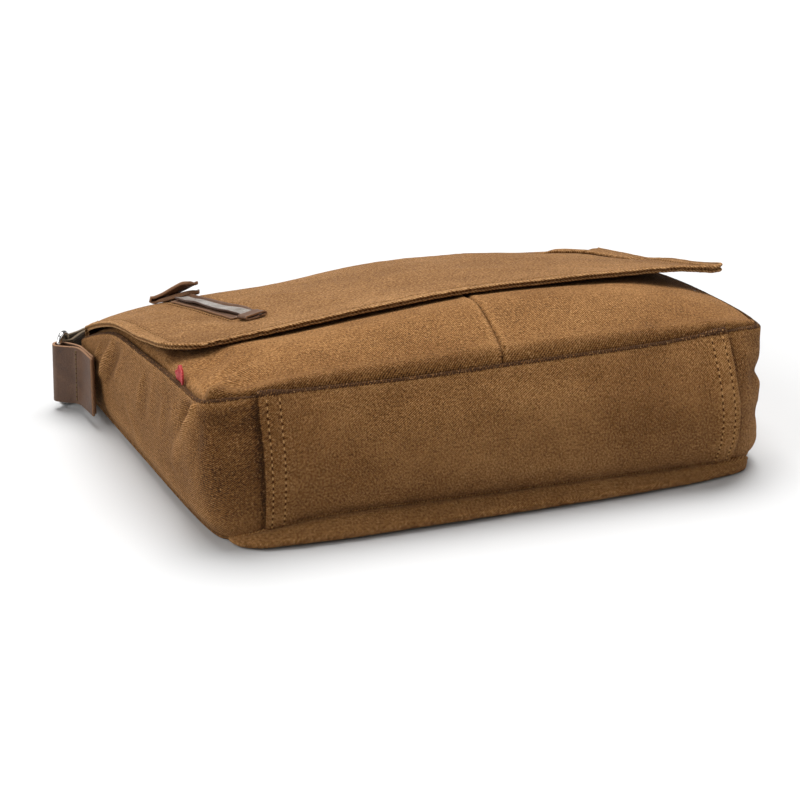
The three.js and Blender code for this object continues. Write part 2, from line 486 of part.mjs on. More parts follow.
// Keeper: a flat leather loop across the strap's lower end.
const KEEP = { x: -112.9, y: -4.5, turn: 15, width: 17, depth: 10, low: 0.7, high: 5.1, wall: 1.3 };
function keeper() {
  const section = [];
  const hx = (KEEP.width - KEEP.wall) / 2, hz = (KEEP.high - KEEP.low - KEEP.wall) / 2, r = 1.2;
  for (const [cx, cz, a0] of [[hx - r, hz - r, 0], [r - hx, hz - r, 90], [r - hx, r - hz, 180], [hx - r, r - hz, 270]])
    for (const a of steps(a0, a0 + 90, 3)) section.push([cx + r * Math.cos(a * Math.PI / 180), cz + r * Math.sin(a * Math.PI / 180)]);
  const m = section.length, points = [], faces = [], ds = steps(-KEEP.depth / 2, KEEP.depth / 2, 2);
  const c = Math.cos(KEEP.turn * Math.PI / 180), n = Math.sin(KEEP.turn * Math.PI / 180);
  for (const d of ds) for (const [a, b] of section) points.push(onFlap(KEEP.x + a * c - d * n, KEEP.y + a * n + d * c, (KEEP.low + KEEP.high) / 2 + b));
  for (let j = 0; j + 1 < ds.length; j++) for (let i = 0; i < m; i++) { const k = (i + 1) % m; faces.push([j * m + i, (j + 1) * m + i, (j + 1) * m + k, j * m + k]); }
  return orient(wall(points, faces, KEEP.wall));
}

// Pull tab: a leather strip folded at the crest, both rounded ends pointing back along the strap. tilt: slope over its width.
const PULL = [
  { x: -109, y: 119.5, z: 71.9, width: 5, tilt: -0.06 }, { x: -110.2, y: 121.4, z: 71.3, width: 9.5, tilt: -0.06 }, { x: -114, y: 127, z: 68.4, width: 12.5, tilt: -0.06 },
  { x: -119, y: 135, z: 64.2, width: 12, tilt: -0.06 }, { x: -124, y: 141.6, z: 60.9, width: 11, tilt: -0.06 }, { x: -128, y: 145.4, z: 59.1, width: 10, tilt: -0.06 },
  { x: -130.9, y: 147.2, z: 60.2, width: 10, tilt: -0.1 }, { x: -128, y: 145.4, z: 61.8, width: 10.5, tilt: -0.12 }, { x: -123.4, y: 138.7, z: 65.8, width: 12, tilt: -0.2 },
  { x: -118.8, y: 128, z: 73, width: 13.5, tilt: -0.24 }, { x: -115.4, y: 119.5, z: 78.6, width: 13.5, tilt: -0.24 }, { x: -113.9, y: 115.9, z: 80.2, width: 11, tilt: -0.24 },
  { x: -113.2, y: 114, z: 80.7, width: 6, tilt: -0.24 },
];
function pullTab() {
  return orient(band(PULL.map((r) => ({ p: V(r.x, r.y, r.z), w: V(0.85, 0.38, r.tilt), width: r.width })), 14, LEATHER));
}

// Red cloth tab standing in the left front seam. h: height over the seam, w: width along it.
const TAG = [{ h: 4.3, w: 13 }, { h: 7, w: 16 }, { h: 11, w: 10 }, { h: 15.5, w: 3 }];
function redTag() {
  const base = front(225).add(V(0.6, 0, 0));
  return orient(band(TAG.map((r) => ({ p: base.clone().add(V(0.1 * r.h, 0, r.h)), w: V(0, 1, 0), width: r.w })), 14, 0.9));
}

const paint = (color, roughness = 0.9, metalness = 0) => new THREE.MeshStandardMaterial({ color, roughness, metalness, side: THREE.DoubleSide });
const CANVAS = '#8a6238', HIDE = '#4a3529';

const bag = new THREE.Group();
const add = (name, geometry, material) => {
  const m = new THREE.Mesh(geometry, material);
  m.name = name;
  m.position.set(...ORIGIN);
  bag.add(m);
};
const cut = GAP / 2;
add('back_panel', orient(backPanel()), paint(CANVAS));
add('gusset_left', orient(sidePanel(0, SEAM_S - cut)), paint(CANVAS));
add('bottom_panel', orient(sidePanel(SEAM_S + cut, S_END - SEAM_S - cut)), paint(CANVAS));
add('gusset_right', orient(sidePanel(S_END - SEAM_S + cut, S_END)), paint(CANVAS));
add('front_panel_left', orient(frontPanel(-1)), paint(CANVAS));
add('front_panel_right', orient(frontPanel(1)), paint(CANVAS));
add('flap', orient(flapPanel()), paint(CANVAS));
add('flap_strap_base', strip('base', 3.8, 117.5, 16, 0.95, 1.3), paint(HIDE, 0.55));
add('flap_strap', strip('strap', -8, 112, 16, 2.9, 1.4), paint('#6b5a50', 0.4));
add('strap_keeper', keeper(), paint(HIDE, 0.5));
add('pull_tab', pullTab(), paint(HIDE, 0.5));
add('ring_tab_left', ringTab(1), paint(HIDE, 0.5));
add('ring_tab_right', ringTab(-1), paint(HIDE, 0.5));
add('ring_left', ring(1), paint('#c8c8cc', 0.15, 1));
add('ring_right', ring(-1), paint('#c8c8cc', 0.15, 1));
add('shoulder_strap', shoulderStrap(), paint('#5f452b', 0.85));
add('red_tag', redTag(), paint('#b01f24', 0.7));

export default bag;
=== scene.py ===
import bpy, math
import numpy as np
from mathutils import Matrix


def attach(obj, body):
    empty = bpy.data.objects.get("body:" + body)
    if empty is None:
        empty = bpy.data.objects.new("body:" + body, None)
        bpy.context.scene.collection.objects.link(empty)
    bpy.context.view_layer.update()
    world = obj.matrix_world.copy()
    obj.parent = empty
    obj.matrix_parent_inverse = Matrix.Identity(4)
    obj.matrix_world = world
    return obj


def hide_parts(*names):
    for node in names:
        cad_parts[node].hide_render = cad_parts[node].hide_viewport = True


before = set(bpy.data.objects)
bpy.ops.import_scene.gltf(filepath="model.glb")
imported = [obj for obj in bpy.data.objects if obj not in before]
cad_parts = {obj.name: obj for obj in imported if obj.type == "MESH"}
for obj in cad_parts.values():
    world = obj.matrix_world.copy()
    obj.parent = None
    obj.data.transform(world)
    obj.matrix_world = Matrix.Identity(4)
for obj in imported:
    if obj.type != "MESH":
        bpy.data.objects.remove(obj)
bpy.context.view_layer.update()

# Canvas shoulder bag lying on its back. Tables and surfaces are in the millimetres of the model's drawing,
# ORIGIN moves them to the row's frame, and meshes are written in metres.
ORIGIN = np.array([0.0, -21.62, 0.0])
CLOTH, FLAP_CLOTH, LEATHER, GAP = 2.0, 3.0, 1.8, 0.3
SEAM_S, S_END = 300.0, 940.0
BACK_END_Y, FLAP_EDGE_Y, CREST_Y = 129.0, -62.0, 143.0
FLAP_CORNER_L, FLAP_CORNER_R = 24.0, 9.0
WEB_WIDTH, WEB_THICK = 40.0, 2.6
WIRE, RING_LONG, RING_SHORT, RING_CORNER, RING_Z = 3.6, 48.4, 12.1, 5.5, 26.4
BAR_A, BAR_B = (-205.0, 124.8), (-197.0, 134.0)
TAB_WIDTH, TAB_Z = 40.0, 25.8


def table(names, rows):
    return {n: np.array([r[i] for r in rows], float) for i, n in enumerate(names.split())}


BODY = table("s bx by bz fx fy fz out roll", [
    (0, -181, 129, 5, -187.5, 129, 43.5, 3, 0.8),
    (40, -181.5, 92, 5, -189, 92, 60.5, 3, 0.8),
    (85, -181.5, 50, 5, -189, 50, 75.5, 4, 0.8),
    (135, -181.5, 0, 5, -190, 0, 83, 5, 1),
    (190, -181.5, -55, 4.5, -190.5, -55, 90, 6, 1),
    (232, -180.5, -96, 4.2, -191, -98, 93.5, 7, 1),
    (255, -178, -119, 4, -191.5, -121, 95.5, 8, 1.2),
    (272, -172.5, -131, 4.5, -189, -134, 97, 8, 3),
    (287, -163, -138, 7, -176, -138, 97.8, 7, 7),
    (300, -153, -141, 10, -155.5, -138, 98, 8, 9.5),
    (345, -112, -143, 14.5, -112, -138, 98, 10, 12),
    (410, -48, -143, 14, -48, -138, 96.5, 12, 12.5),
    (470, 8, -143, 13, 8.5, -138, 97, 13, 11.5),
    (530, 65, -143, 12.5, 68, -138, 96.8, 14, 10.5),
    (590, 117, -142, 11, 117, -138, 97, 16, 8.5),
    (640, 162, -140, 10.5, 160, -138, 98, 17, 5),
    (656, 173, -137, 9.5, 174, -137.5, 97, 9, 3.5),
    (670, 182, -129, 8, 186, -133, 95, 2.5, 2),
    (687, 185, -114, 6.5, 189.5, -120, 93.5, 2, 1.2),
    (710, 184, -95, 5.5, 190, -97, 92.5, 4, 1),
    (750, 182.5, -55, 5, 190, -55, 88, 5, 1),
    (805, 181.5, 0, 5, 189.5, 0, 80.5, 4, 1),
    (855, 181.5, 50, 5, 189, 50, 71, 4, 0.8),
    (900, 181.5, 92, 5, 188.5, 92, 60.5, 3, 0.8),
    (940, 181, 129, 5, 187, 129, 48, 3, 0.8),
])
FLAP = table("x zc z100 z50 z0 ze cy yc", [
    (-190, 44, 66, 84.5, 94, 109.8, 131, 134),
    (-178, 49, 67.5, 85, 95, 108.4, 137.5, 140.8),
    (-150, 55.6, 70, 84.5, 95.2, 108.4, 142.5, 147.5),
    (-110, 59.5, 74, 87, 97, 110, 143, 149.5),
    (-50, 61, 76.5, 91.5, 103.5, 115, 143, 150.5),
    (20, 67, 81.5, 96, 108.5, 119.5, 143, 151),
    (90, 65, 79.5, 93.5, 106, 117.5, 143, 150.5),
    (150, 59, 73.5, 87, 100, 114.5, 142.5, 147.5),
    (180, 57, 70.5, 83, 97.5, 113.3, 140.5, 140.8),
    (196, 57.5, 70, 82.5, 97, 113, 138.5, 139.5),
])
FLAP_Y, FLAP_KEYS = np.array([FLAP_EDGE_Y, 0, 50, 100, CREST_Y]), ("ze", "z0", "z50", "z100", "zc")
# ridges (+) and valleys (-) of the cloth in plan: x1 y1 x2 y2 height width
FLAP_FOLDS = [(-170, 30, -135, -25, 1.3, 9), (-160, 75, -128, 30, -1.0, 8), (60, 60, 120, 20, 1.0, 14)]
FRONT_FOLDS = [(-186, -128, -146, -84, 3.0, 7), (-180, -96, -160, -70, -3.0, 9)]
# finer creases, in the mesh only
FLAP_CREASES = [
    (-163, 44, -142, 74, 0.9, 2.6), (-170.5, -13, -153.5, 17, 0.9, 2.4), (-153.5, 17, -135, 49, 0.8, 2.6), (-175, -36.5, -151, 2, 0.8, 2.4),
    (-170.5, 19, -155, 46.5, 0.7, 2.8), (-159, 69, -143, 100, 0.6, 3.0), (-151, -24, -131, 9, 0.5, 2.6), (-166, -2, -150, 28, -0.7, 4.5), (-168, 30, -150, 58, -0.6, 5),
    (-92, 60, -60, 30, 0.5, 4.5), (-85, 5, -50, -20, 0.45, 4), (20, 20, 60, -12, 0.5, 5), (-20, 110, 30, 96, -0.6, 7),
    (100, -10, 150, -28, 0.5, 5), (110, 70, 135, 40, 0.6, 6), (-60, 95, -20, 80, 0.5, 5), (70, 110, 110, 102, 0.5, 6),
]
WEB = table("x y z tilt", [
    (-163, 157.5, 23.0, 76), (-143, 168, 17.5, 50), (-120, 175.5, 10.5, 24), (-98, 179.5, 4.2, 6), (-78, 181, 1.9, 0),
    (-20, 182, 1.6, 0), (60, 182, 1.6, 0), (112, 182, 1.6, 0), (120, 182, 2.3, 0), (123.5, 182, 5.0, 0), (120, 182, 7.7, 0),
    (110, 182, 7.4, 0), (90, 182, 4.8, 0), (40, 182, 4.4, 0), (-30, 182, 4.4, 0), (-57, 182, 4.5, 0), (-65, 182, 5.4, 0),
    (-68.5, 182, 8.1, 0), (-65, 182, 10.8, 0), (-55, 182, 10.5, 0), (-35, 182, 7.9, 0), (20, 182, 7.5, 0), (75, 181.5, 8.4, 0),
    (100, 179.5, 12.5, -6), (122, 175.5, 18.5, -28), (143, 168, 24, -56), (163, 157.5, 25.8, -80),
])
PULL = table("x y z width tilt", [
    (-109, 119.5, 71.7, 11, -0.15), (-110.2, 121.4, 71.2, 11.5, -0.15), (-114, 127, 68.4, 12.5, -0.15), (-119, 135, 64.2, 12, -0.13),
    (-124, 141.6, 60.9, 11, -0.06), (-128, 145.4, 59.1, 10, -0.06), (-130.9, 147.2, 60.2, 10, -0.1), (-128, 145.4, 61.8, 10.5, -0.12),
    (-123.4, 138.7, 65.8, 12, -0.2), (-118.8, 128, 73, 13.5, -0.24), (-115.4, 119.5, 78.6, 13.5, -0.24), (-113.2, 114, 80.7, 13, -0.24),
])
STRIPS = table("y strapX strap baseX base", [
    (-8, -112.3, 4.3, -115.6, 9.2), (8.5, -114.9, 4.3, -116.8, 9.4), (25, -118.2, 4.2, -118.8, 8.6), (41, -121, 4.1, -121.2, 7.8),
    (66, -122.6, 4, -122.8, 7.2), (136, -122.8, 4, -122.8, 7.2),
])
KEEP = dict(x=-112.9, y=-4.5, turn=15, width=17, depth=10, low=0.7, high=5.1, wall=1.3)
EDGE_HANG = table("y d", [(-62, -0.5), (-50, -0.7), (-42, -1.0), (-27, -1.7), (-9, -2.3), (6, -1.9), (23, -1.6), (45, -2.1), (68, -3.3), (87, -3.3), (108, -2.7), (125, -1.2), (142, 0)])
EDGE_RISE = table("x d", [(-190, -1.0), (-170, -1.2), (-150, -0.6), (-130, 0.4), (-100, 1.2), (-60, 1.2), (-20, 0.8), (20, 0.2), (60, 0.4), (100, 1.2), (140, 1.9), (165, 1.5), (184, 0), (196, 0)])
# how far the seams of the front sit under the drawn edge
SEAM_LOW = table("s d", [(0, 0), (120, 0.9), (180, 2.3), (255, 2.7), (276, 1.5), (292, 1.4), (345, 2.8), (470, 3.3), (590, 3.3), (640, 2.0), (670, 0.5), (720, 0.9), (940, 0)])
SLIT = [(131, 101), (143, 93), (155, 83), (163, 72), (169, 58), (173, 40)]
S_CORNER_L, S_CORNER_R = 276.0, 669.0
SEAM_X, SEAM_LEAN = 7.5, 0.09
ROLL = 1.6                                      # radius that seam edges are turned in with

# ---------------------------------------------------------------- curves and noise


def smooth(t):
    t = np.clip(t, 0, 1)
    return t * t * (3 - 2 * t)


def mix(a, b, t):
    return a + (b - a) * t


def hermite(X, Y, k):
    """Smooth curve through the rows X, Y at the keys k. Y is (rows,) or (rows, len(k))."""
    k = np.asarray(k, float)
    n = len(X)
    lo, hi = np.maximum(np.arange(n) - 1, 0), np.minimum(np.arange(n) + 1, n - 1)
    i = np.clip(np.searchsorted(X, k, side="left") - 1, 0, n - 2)
    gap = X[hi] - X[lo]
    S = (Y[hi] - Y[lo]) / (gap if Y.ndim == 1 else gap[:, None])
    take = (lambda A, j: A[j]) if Y.ndim == 1 else (lambda A, j: A[j, np.arange(len(k))])
    h = X[i + 1] - X[i]
    t = np.clip((k - X[i]) / h, 0, 1)
    t2, t3 = t * t, t * t * t
    return (2 * t3 - 3 * t2 + 1) * take(Y, i) + (t3 - 2 * t2 + t) * h * take(S, i) + (3 * t2 - 2 * t3) * take(Y, i + 1) + (t3 - t2) * h * take(S, i + 1)


def along(T, key, k, col):
    k = np.asarray(k, float)
    return hermite(T[key], T[col], k.ravel()).reshape(k.shape)


_seed = np.random.RandomState(23)
_perm = _seed.permutation(256)
_grad = _seed.normal(size=(256, 3))
_grad /= np.linalg.norm(_grad, axis=1)[:, None]


def perlin(x, y, z=0.0):
    x, y, z = np.broadcast_arrays(np.asarray(x, float), y, z)
    shape = x.shape
    p = np.stack([x.ravel(), y.ravel(), z.ravel()], 1)
    i = np.floor(p).astype(int)
    f = p - i
    w = f * f * f * (f * (f * 6 - 15) + 10)
    out = np.zeros(len(p))
    for a in (0, 1):
        for b in (0, 1):
            for c in (0, 1):
                h = _perm[(_perm[(_perm[(i[:, 0] + a) & 255] + i[:, 1] + b) & 255] + i[:, 2] + c) & 255]
                d = (_grad[h] * (f - (a, b, c))).sum(1)
                out += d * (w[:, 0] if a else 1 - w[:, 0]) * (w[:, 1] if b else 1 - w[:, 1]) * (w[:, 2] if c else 1 - w[:, 2])
    return (out * 1.7).reshape(shape)


def rumple(a, b, key):
    """Height of washed cloth over its own plane (a, b in mm): soft waves, smaller ones and thin creases."""
    h = 0.8 * perlin(a / 46, b / 38, key) + 0.38 * perlin(a / 19, b / 17, key + 5.3) + 0.16 * perlin(a / 8.5, b / 8, key + 9.1)
    wa, wb = a + 9 * perlin(a / 33, b / 33, key + 2.2), b + 9 * perlin(a / 33, b / 33, key + 3.7)
    ridge = 1 - np.abs(perlin(wa / 30, wb / 22, key + 7.7)) * 3.2
    mask = smooth(perlin(a / 60, b / 60, key + 1.9) * 2.0 + 0.1)
    return h + 0.42 * np.clip(ridge, 0, 1) ** 2 * mask


def folds(rows, x, y):
    z = np.zeros(np.shape(x))
    for x1, y1, x2, y2, h, w in rows:
        dx, dy = x2 - x1, y2 - y1
        t = np.clip(((x - x1) * dx + (y - y1) * dy) / (dx * dx + dy * dy), 0, 1)
        d = np.hypot(x - x1 - dx * t, y - y1 - dy * t) / w
        z = z + h * np.exp(-d * d) * (0.35 + 0.65 * np.sin(np.pi * np.clip(t, 0.05, 0.95)))
    return z


def unit(v):
    return v / np.maximum(np.linalg.norm(v, axis=-1, keepdims=True), 1e-9)


def xyz(x, y, z):
    return np.stack(np.broadcast_arrays(np.asarray(x, float), y, z), -1)


# ---------------------------------------------------------------- surfaces of the bag
def back(s):
    return xyz(along(BODY, "s", s, "bx"), along(BODY, "s", s, "by"), along(BODY, "s", s, "bz"))


def front(s):
    return xyz(along(BODY, "s", s, "fx"), along(BODY, "s", s, "fy"), along(BODY, "s", s, "fz"))


def outward(s, v=0.5):
    s = np.asarray(s, float)
    a, b = np.maximum(0, s - 3), np.minimum(S_END, s + 3)
    v = np.asarray(v, float)[..., None] * np.ones(s.shape + (1,))
    t = mix(back(b), front(b), v) - mix(back(a), front(a), v)
    return unit(xyz(t[..., 1], -t[..., 0], 0 * t[..., 0]))


def flap_top(x, y, fine=True):
    x, y = np.broadcast_arrays(np.asarray(x, float), y)
    shape = x.shape
    x, y = x.ravel(), y.ravel()
    Z = np.stack([hermite(FLAP["x"], FLAP[k], np.clip(x, -192, 196)) for k in FLAP_KEYS])
    z = hermite(FLAP_Y, Z, np.clip(y, FLAP_EDGE_Y, CREST_Y)) + folds(FLAP_FOLDS, x, y)
    return z.reshape(shape)


def flap_rumple(x, y):
    """What the cloth of the flap stands over its smooth shape."""
    h = 0.75 * rumple(x, y, 3.0) + folds(FLAP_CREASES, x, y)
    edge = smooth((y - FLAP_EDGE_Y) / 10) * smooth((196 - np.abs(x)) / 12)
    h = h * (0.35 + 0.65 * edge)
    # quiet under the leather strap
    strap = smooth((14 - np.abs(x - along(STRIPS, "y", y, "baseX"))) / 5) * smooth((y + 18) / 6)
    dip = smooth((122 - y) / 45) * smooth((22 - np.abs(x - along(STRIPS, "y", y, "baseX"))) / 14) * smooth((y + 28) / 20)
    return h * (1 - 0.85 * strap) - 1.3 * dip


def flap_droop(x, y):
    """Hang of the right edge, and the front edge's own rise and fall."""
    x, y = np.broadcast_arrays(np.asarray(x, float), np.asarray(y, float))
    right = np.interp(y, EDGE_HANG["y"], EDGE_HANG["d"]) * smooth((x - 150) / 34)
    front_ = np.interp(x, EDGE_RISE["x"], EDGE_RISE["d"]) * smooth((-12 - y) / 40)
    return right + front_


def flap_at(x, y):
    return flap_top(x, y) + flap_rumple(x, y)


def flap_normal(x, y):
    return unit(xyz(flap_top(x - 1, y) - flap_top(x + 1, y), flap_top(x, y - 1) - flap_top(x, y + 1), 2.0))


def on_flap(x, y, h):
    """Point h over the real top of the flap."""
    return xyz(x, y, flap_at(x, y)) + flap_normal(x, y) * np.asarray(h, float)[..., None]


def flap_side(y, sign):
    d = y - FLAP_EDGE_Y
    r = FLAP_CORNER_L if sign < 0 else FLAP_CORNER_R
    cut = np.where(d < r, r - np.sqrt(np.maximum(0, r ** 2 - (r - d) ** 2)), 0)
    if sign < 0:
        return mix(-182.5, -190, smooth((CREST_Y - y) / 30)) + cut
    return mix(193, 196, smooth((CREST_Y - y) / 80)) - cut


def front_point(u, v, inset=3.4):
    """Front panel: a low pillow between the seams, its edge inset beside the turned edge of the walls."""
    lift = GAP + CLOTH / 2 + 0.15

    def rim(s):
        return front(s) + outward(s, 1.0) * -inset

    u, v = np.broadcast_arrays(np.asarray(u, float), v)
    U, W = u[..., None], v[..., None]
    L, R = rim(mix(S_CORNER_L, 12, v)), rim(mix(S_CORNER_R, S_END - 12, v))
    B = rim(mix(S_CORNER_L, S_CORNER_R, u))
    c00, c10, c01, c11 = (rim(np.array(s)) for s in (S_CORNER_L, S_CORNER_R, 12.0, S_END - 12))
    T = mix(c01, c11, U)
    p = L * (1 - U) + R * U + B * (1 - W) + T * W - c00 * (1 - U) * (1 - W) - c10 * U * (1 - W) - c01 * (1 - U) * W - c11 * U * W
    edge = np.minimum(u, 1 - u)
    across = 1 - np.power(1 - 2 * edge, 2.4)
    up = 1 - np.power(1 - np.clip(v / 0.3, 0, 1), 2.3)
    z = p[..., 2] + lift + 26 * across * up
    x, y = p[..., 0], p[..., 1]
    z = z + folds(FRONT_FOLDS, x, y) * smooth((edge - 0.006) / 0.02) * smooth((v - 0.012) / 0.03)
    show = smooth((-y - 55) / 12)
    quiet = smooth(edge / 0.05) * smooth(v / 0.06)
    z = z + (0.35 + 0.65 * show) * 0.8 * rumple(x, y, 14.0) * (0.25 + 0.75 * quiet)
    roof = flap_top(np.clip(x, -190, 194), np.maximum(y, FLAP_EDGE_Y)) - FLAP_CLOTH - 1.9 - CLOTH / 2 + 0.28 * np.maximum(0, FLAP_EDGE_Y - y)
    over = z - roof
    soft = 3 * smooth(edge / 0.06) + 0.2
    z = np.where(over > -soft, roof - np.where(over > soft, 0, (soft - over) ** 2 / (4 * soft)), z)
    return xyz(x, y, z)


def centre_seam(v):
    a, b = np.full(np.shape(v), 0.3), np.full(np.shape(v), 0.7)
    for _ in range(22):
        m = (a + b) / 2
        p = front_point(m, v)
        left = p[..., 0] < SEAM_X + SEAM_LEAN * (p[..., 1] + 138) - 5.5 * np.sin(np.pi * np.clip((p[..., 1] + 138) / 90, 0, 1)) * 0.35
        a, b = np.where(left, m, a), np.where(left, b, m)
    return (a + b) / 2


# ---------------------------------------------------------------- meshes
def spaced(a, b, step, fine=(), lips=(1, 1)):
    """Stations from a to b: step apart, closer where fine has (low, high, step), and with the rows of a rounded edge at each end."""
    at = [a]
    while at[-1] < b - 1e-6:
        st = step
        for lo, hi, s in fine:
            if lo - 1e-6 <= at[-1] < hi - 1e-6:
                st = min(st, s)
        at.append(at[-1] + st)
    at = np.array(at)
    at = a + (at - a) * (b - a) / (at[-1] - a)
    edge = np.array([0, 0.1, 0.35, 0.65, 1.0, 1.4])
    if lips[0]:
        at = np.r_[a + edge, at[at > a + 1.7]]
    if lips[1]:
        at = np.r_[at[at < b - 1.7], (b - edge)[::-1]]
    return at


def normals(P):
    return unit(np.cross(np.gradient(P, axis=1), np.gradient(P, axis=0)))


MATS = {}


def mesh(name, verts, faces, mat, attrs=None, replaces=(), slot=None, shade=True):
    me = bpy.data.meshes.new(name)
    v = (np.asarray(verts, float) + ORIGIN) * 0.001
    faces = [np.asarray(f, int) for f in (faces if isinstance(faces, list) else [faces])]
    sizes = np.concatenate([np.full(len(f), f.shape[1]) for f in faces if len(f)])
    flat = np.concatenate([f.ravel() for f in faces if len(f)])
    me.vertices.add(len(v))
    me.vertices.foreach_set("co", v.astype(np.float32).ravel())
    me.loops.add(len(flat))
    me.loops.foreach_set("vertex_index", flat.astype(np.int32))
    me.polygons.add(len(sizes))
    me.polygons.foreach_set("loop_start", np.r_[0, np.cumsum(sizes)[:-1]].astype(np.int32))
    me.polygons.foreach_set("loop_total", sizes.astype(np.int32))
    me.polygons.foreach_set("use_smooth", np.full(len(sizes), bool(shade)))
    me.update(calc_edges=True)
    me.validate()
    for key, val in (attrs or {}).items():
        val = np.asarray(val, np.float32)
        if val.ndim == 2:
            me.attributes.new(key, "FLOAT_VECTOR", "POINT").data.foreach_set("vector", val.ravel())
        else:
            me.attributes.new(key, "FLOAT", "POINT").data.foreach_set("value", val)
    me.materials.append(MATS[mat])
    ob = bpy.data.objects.new(name, me)
    bpy.context.scene.collection.objects.link(ob)
    # faces out
    co = v[flat[:0]] if not len(flat) else None
    tri = 0.0
    start = 0
    for f in faces:
        if not len(f):
            continue
        for k in range(1, f.shape[1] - 1):
            tri += np.einsum("ij,ij->i", v[f[:, 0]], np.cross(v[f[:, k]], v[f[:, k + 1]])).sum()
    if tri < 0:
        me.flip_normals()
    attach(ob, "root")
    if replaces:
        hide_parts(*replaces)
    return ob


def shell(P, thick, out=None):
    """Closed wall about the grid P, its borders rounded. Returns verts, faces, the index of each vertex in the grid, and the outer face."""
    nv, nu = P.shape[:2]
    N = normals(P)
    du = np.linalg.norm(np.diff(P, axis=1), axis=2)
    dv = np.linalg.norm(np.diff(P, axis=0), axis=2)
    cu = np.concatenate([np.zeros((nv, 1)), np.cumsum(du, 1)], 1)
    cv = np.concatenate([np.zeros((1, nu)), np.cumsum(dv, 0)], 0)
    d = np.minimum(np.minimum(cu, cu[:, -1:] - cu), np.minimum(cv, cv[-1:] - cv))
    r = thick / 2
    h = r * np.sqrt(np.maximum(0, 1 - (1 - np.clip(d / r, 0, 1)) ** 2))
    top, bot = P + N * h[..., None], P - N * h[..., None]
    idx = np.arange(nv * nu).reshape(nv, nu)
    low = idx.copy()
    inner = np.zeros((nv, nu), bool)
    inner[1:-1, 1:-1] = True
    low[inner] = nv * nu + np.arange(inner.sum())
    verts = np.concatenate([top.reshape(-1, 3), bot[inner]])
    q = lambda I: np.stack([I[:-1, :-1], I[:-1, 1:], I[1:, 1:], I[1:, :-1]], -1).reshape(-1, 4)
    faces = np.concatenate([q(idx), q(low)[:, ::-1]])
    source = np.concatenate([np.arange(nv * nu), np.flatnonzero(inner.ravel())])
    return verts, faces, source, top


def sample(G, us, vs, u, v):
    """Bilinear value of the grid G (rows vs, columns us) at u, v."""
    i = np.clip(np.searchsorted(us, u) - 1, 0, len(us) - 2)
    j = np.clip(np.searchsorted(vs, v) - 1, 0, len(vs) - 2)
    a = np.clip((u - us[i]) / (us[i + 1] - us[i]), 0, 1)[..., None]
    b = np.clip((v - vs[j]) / (vs[j + 1] - vs[j]), 0, 1)[..., None]
    return (G[j, i] * (1 - a) + G[j, i + 1] * a) * (1 - b) + (G[j + 1, i] * (1 - a) + G[j + 1, i + 1] * a) * b


def resample(P, step, offset=0.0, extra=()):
    """Points of the line P every step, and the same for the other rows in extra."""
    d = np.r_[0, np.cumsum(np.linalg.norm(np.diff(P, axis=0), axis=1))]
    n = max(1, int((d[-1] - 2 * offset) / step))
    t = offset + (np.arange(n) + 0.5) * (d[-1] - 2 * offset) / n
    f = lambda A: np.stack([np.interp(t, d, A[:, k]) for k in range(A.shape[1])], 1)
    return (f(P), *[f(e) for e in extra], t)


def stitches(name, lines, mat, pitch=4.3, length=2.9, radius=0.33, lift=0.28, sink=0.55, slot="canvas", swing=0.12):
    """Rows of sewing stitches. lines is [(points, normals)] on a surface: each stitch is a short thread that dives into the cloth at both ends."""
    V, F, S, A = [], [], [], []
    t = np.array([-1, -0.86, -0.6, -0.3, 0, 0.3, 0.6, 0.86, 1.0])
    k = np.arange(6) * np.pi / 3
    for points, norms in lines:
        C, N, at = resample(points, pitch, 0.0, (norms,))
        N = unit(N)
        T = unit(np.gradient(C, axis=0)) if len(C) > 1 else unit(points[-1:] - points[:1])
        B = unit(np.cross(N, T))
        jit = _seed.uniform(-1, 1, (len(C), 2))
        T = unit(T + B * (swing * jit[:, :1]))
        B = unit(np.cross(N, T))
        L = length / 2 * (1 + 0.07 * jit[:, 1])
        h = lift - (lift + sink) * np.abs(t) ** 3.2
        r = radius * (1 - 0.35 * np.abs(t) ** 3)
        P = C[:, None] + T[:, None] * (L[:, None] * t[None])[..., None] + N[:, None] * h[None, :, None]
        ring = (B[:, None, None] * np.cos(k)[None, None, :, None] + N[:, None, None] * np.sin(k)[None, None, :, None])
        Q = P[:, :, None] + ring * r[None, :, None, None]
        n, m = len(C), len(t)
        base = sum(len(x) for x in V)
        V.append(Q.reshape(-1, 3))
        S.append(np.broadcast_to((1 - np.abs(t) ** 2.5)[None, :, None], (n, m, 6)).ravel())
        A.append(np.stack([np.broadcast_to(t[None, :, None], (n, m, 6)).ravel() * length / 2, np.broadcast_to(k[None, None, :], (n, m, 6)).ravel(), np.repeat(np.arange(n), m * 6)], 1))
        I = base + np.arange(n * m * 6).reshape(n, m, 6)
        J = np.roll(I, -1, axis=2)
        F.append(np.stack([I[:, :-1], J[:, :-1], J[:, 1:], I[:, 1:]], -1).reshape(-1, 4))
        F.append(("cap", I[:, 0, ::-1].reshape(-1, 6)))
        F.append(("cap", I[:, -1].reshape(-1, 6)))
    quads = np.concatenate([f for f in F if not isinstance(f, tuple)])
    caps = np.concatenate([f[1] for f in F if isinstance(f, tuple)])
    return mesh(name, np.concatenate(V), [quads, caps], mat, {"shade": np.concatenate(S), "cloth": np.concatenate(A) * 0.001}, slot=slot)


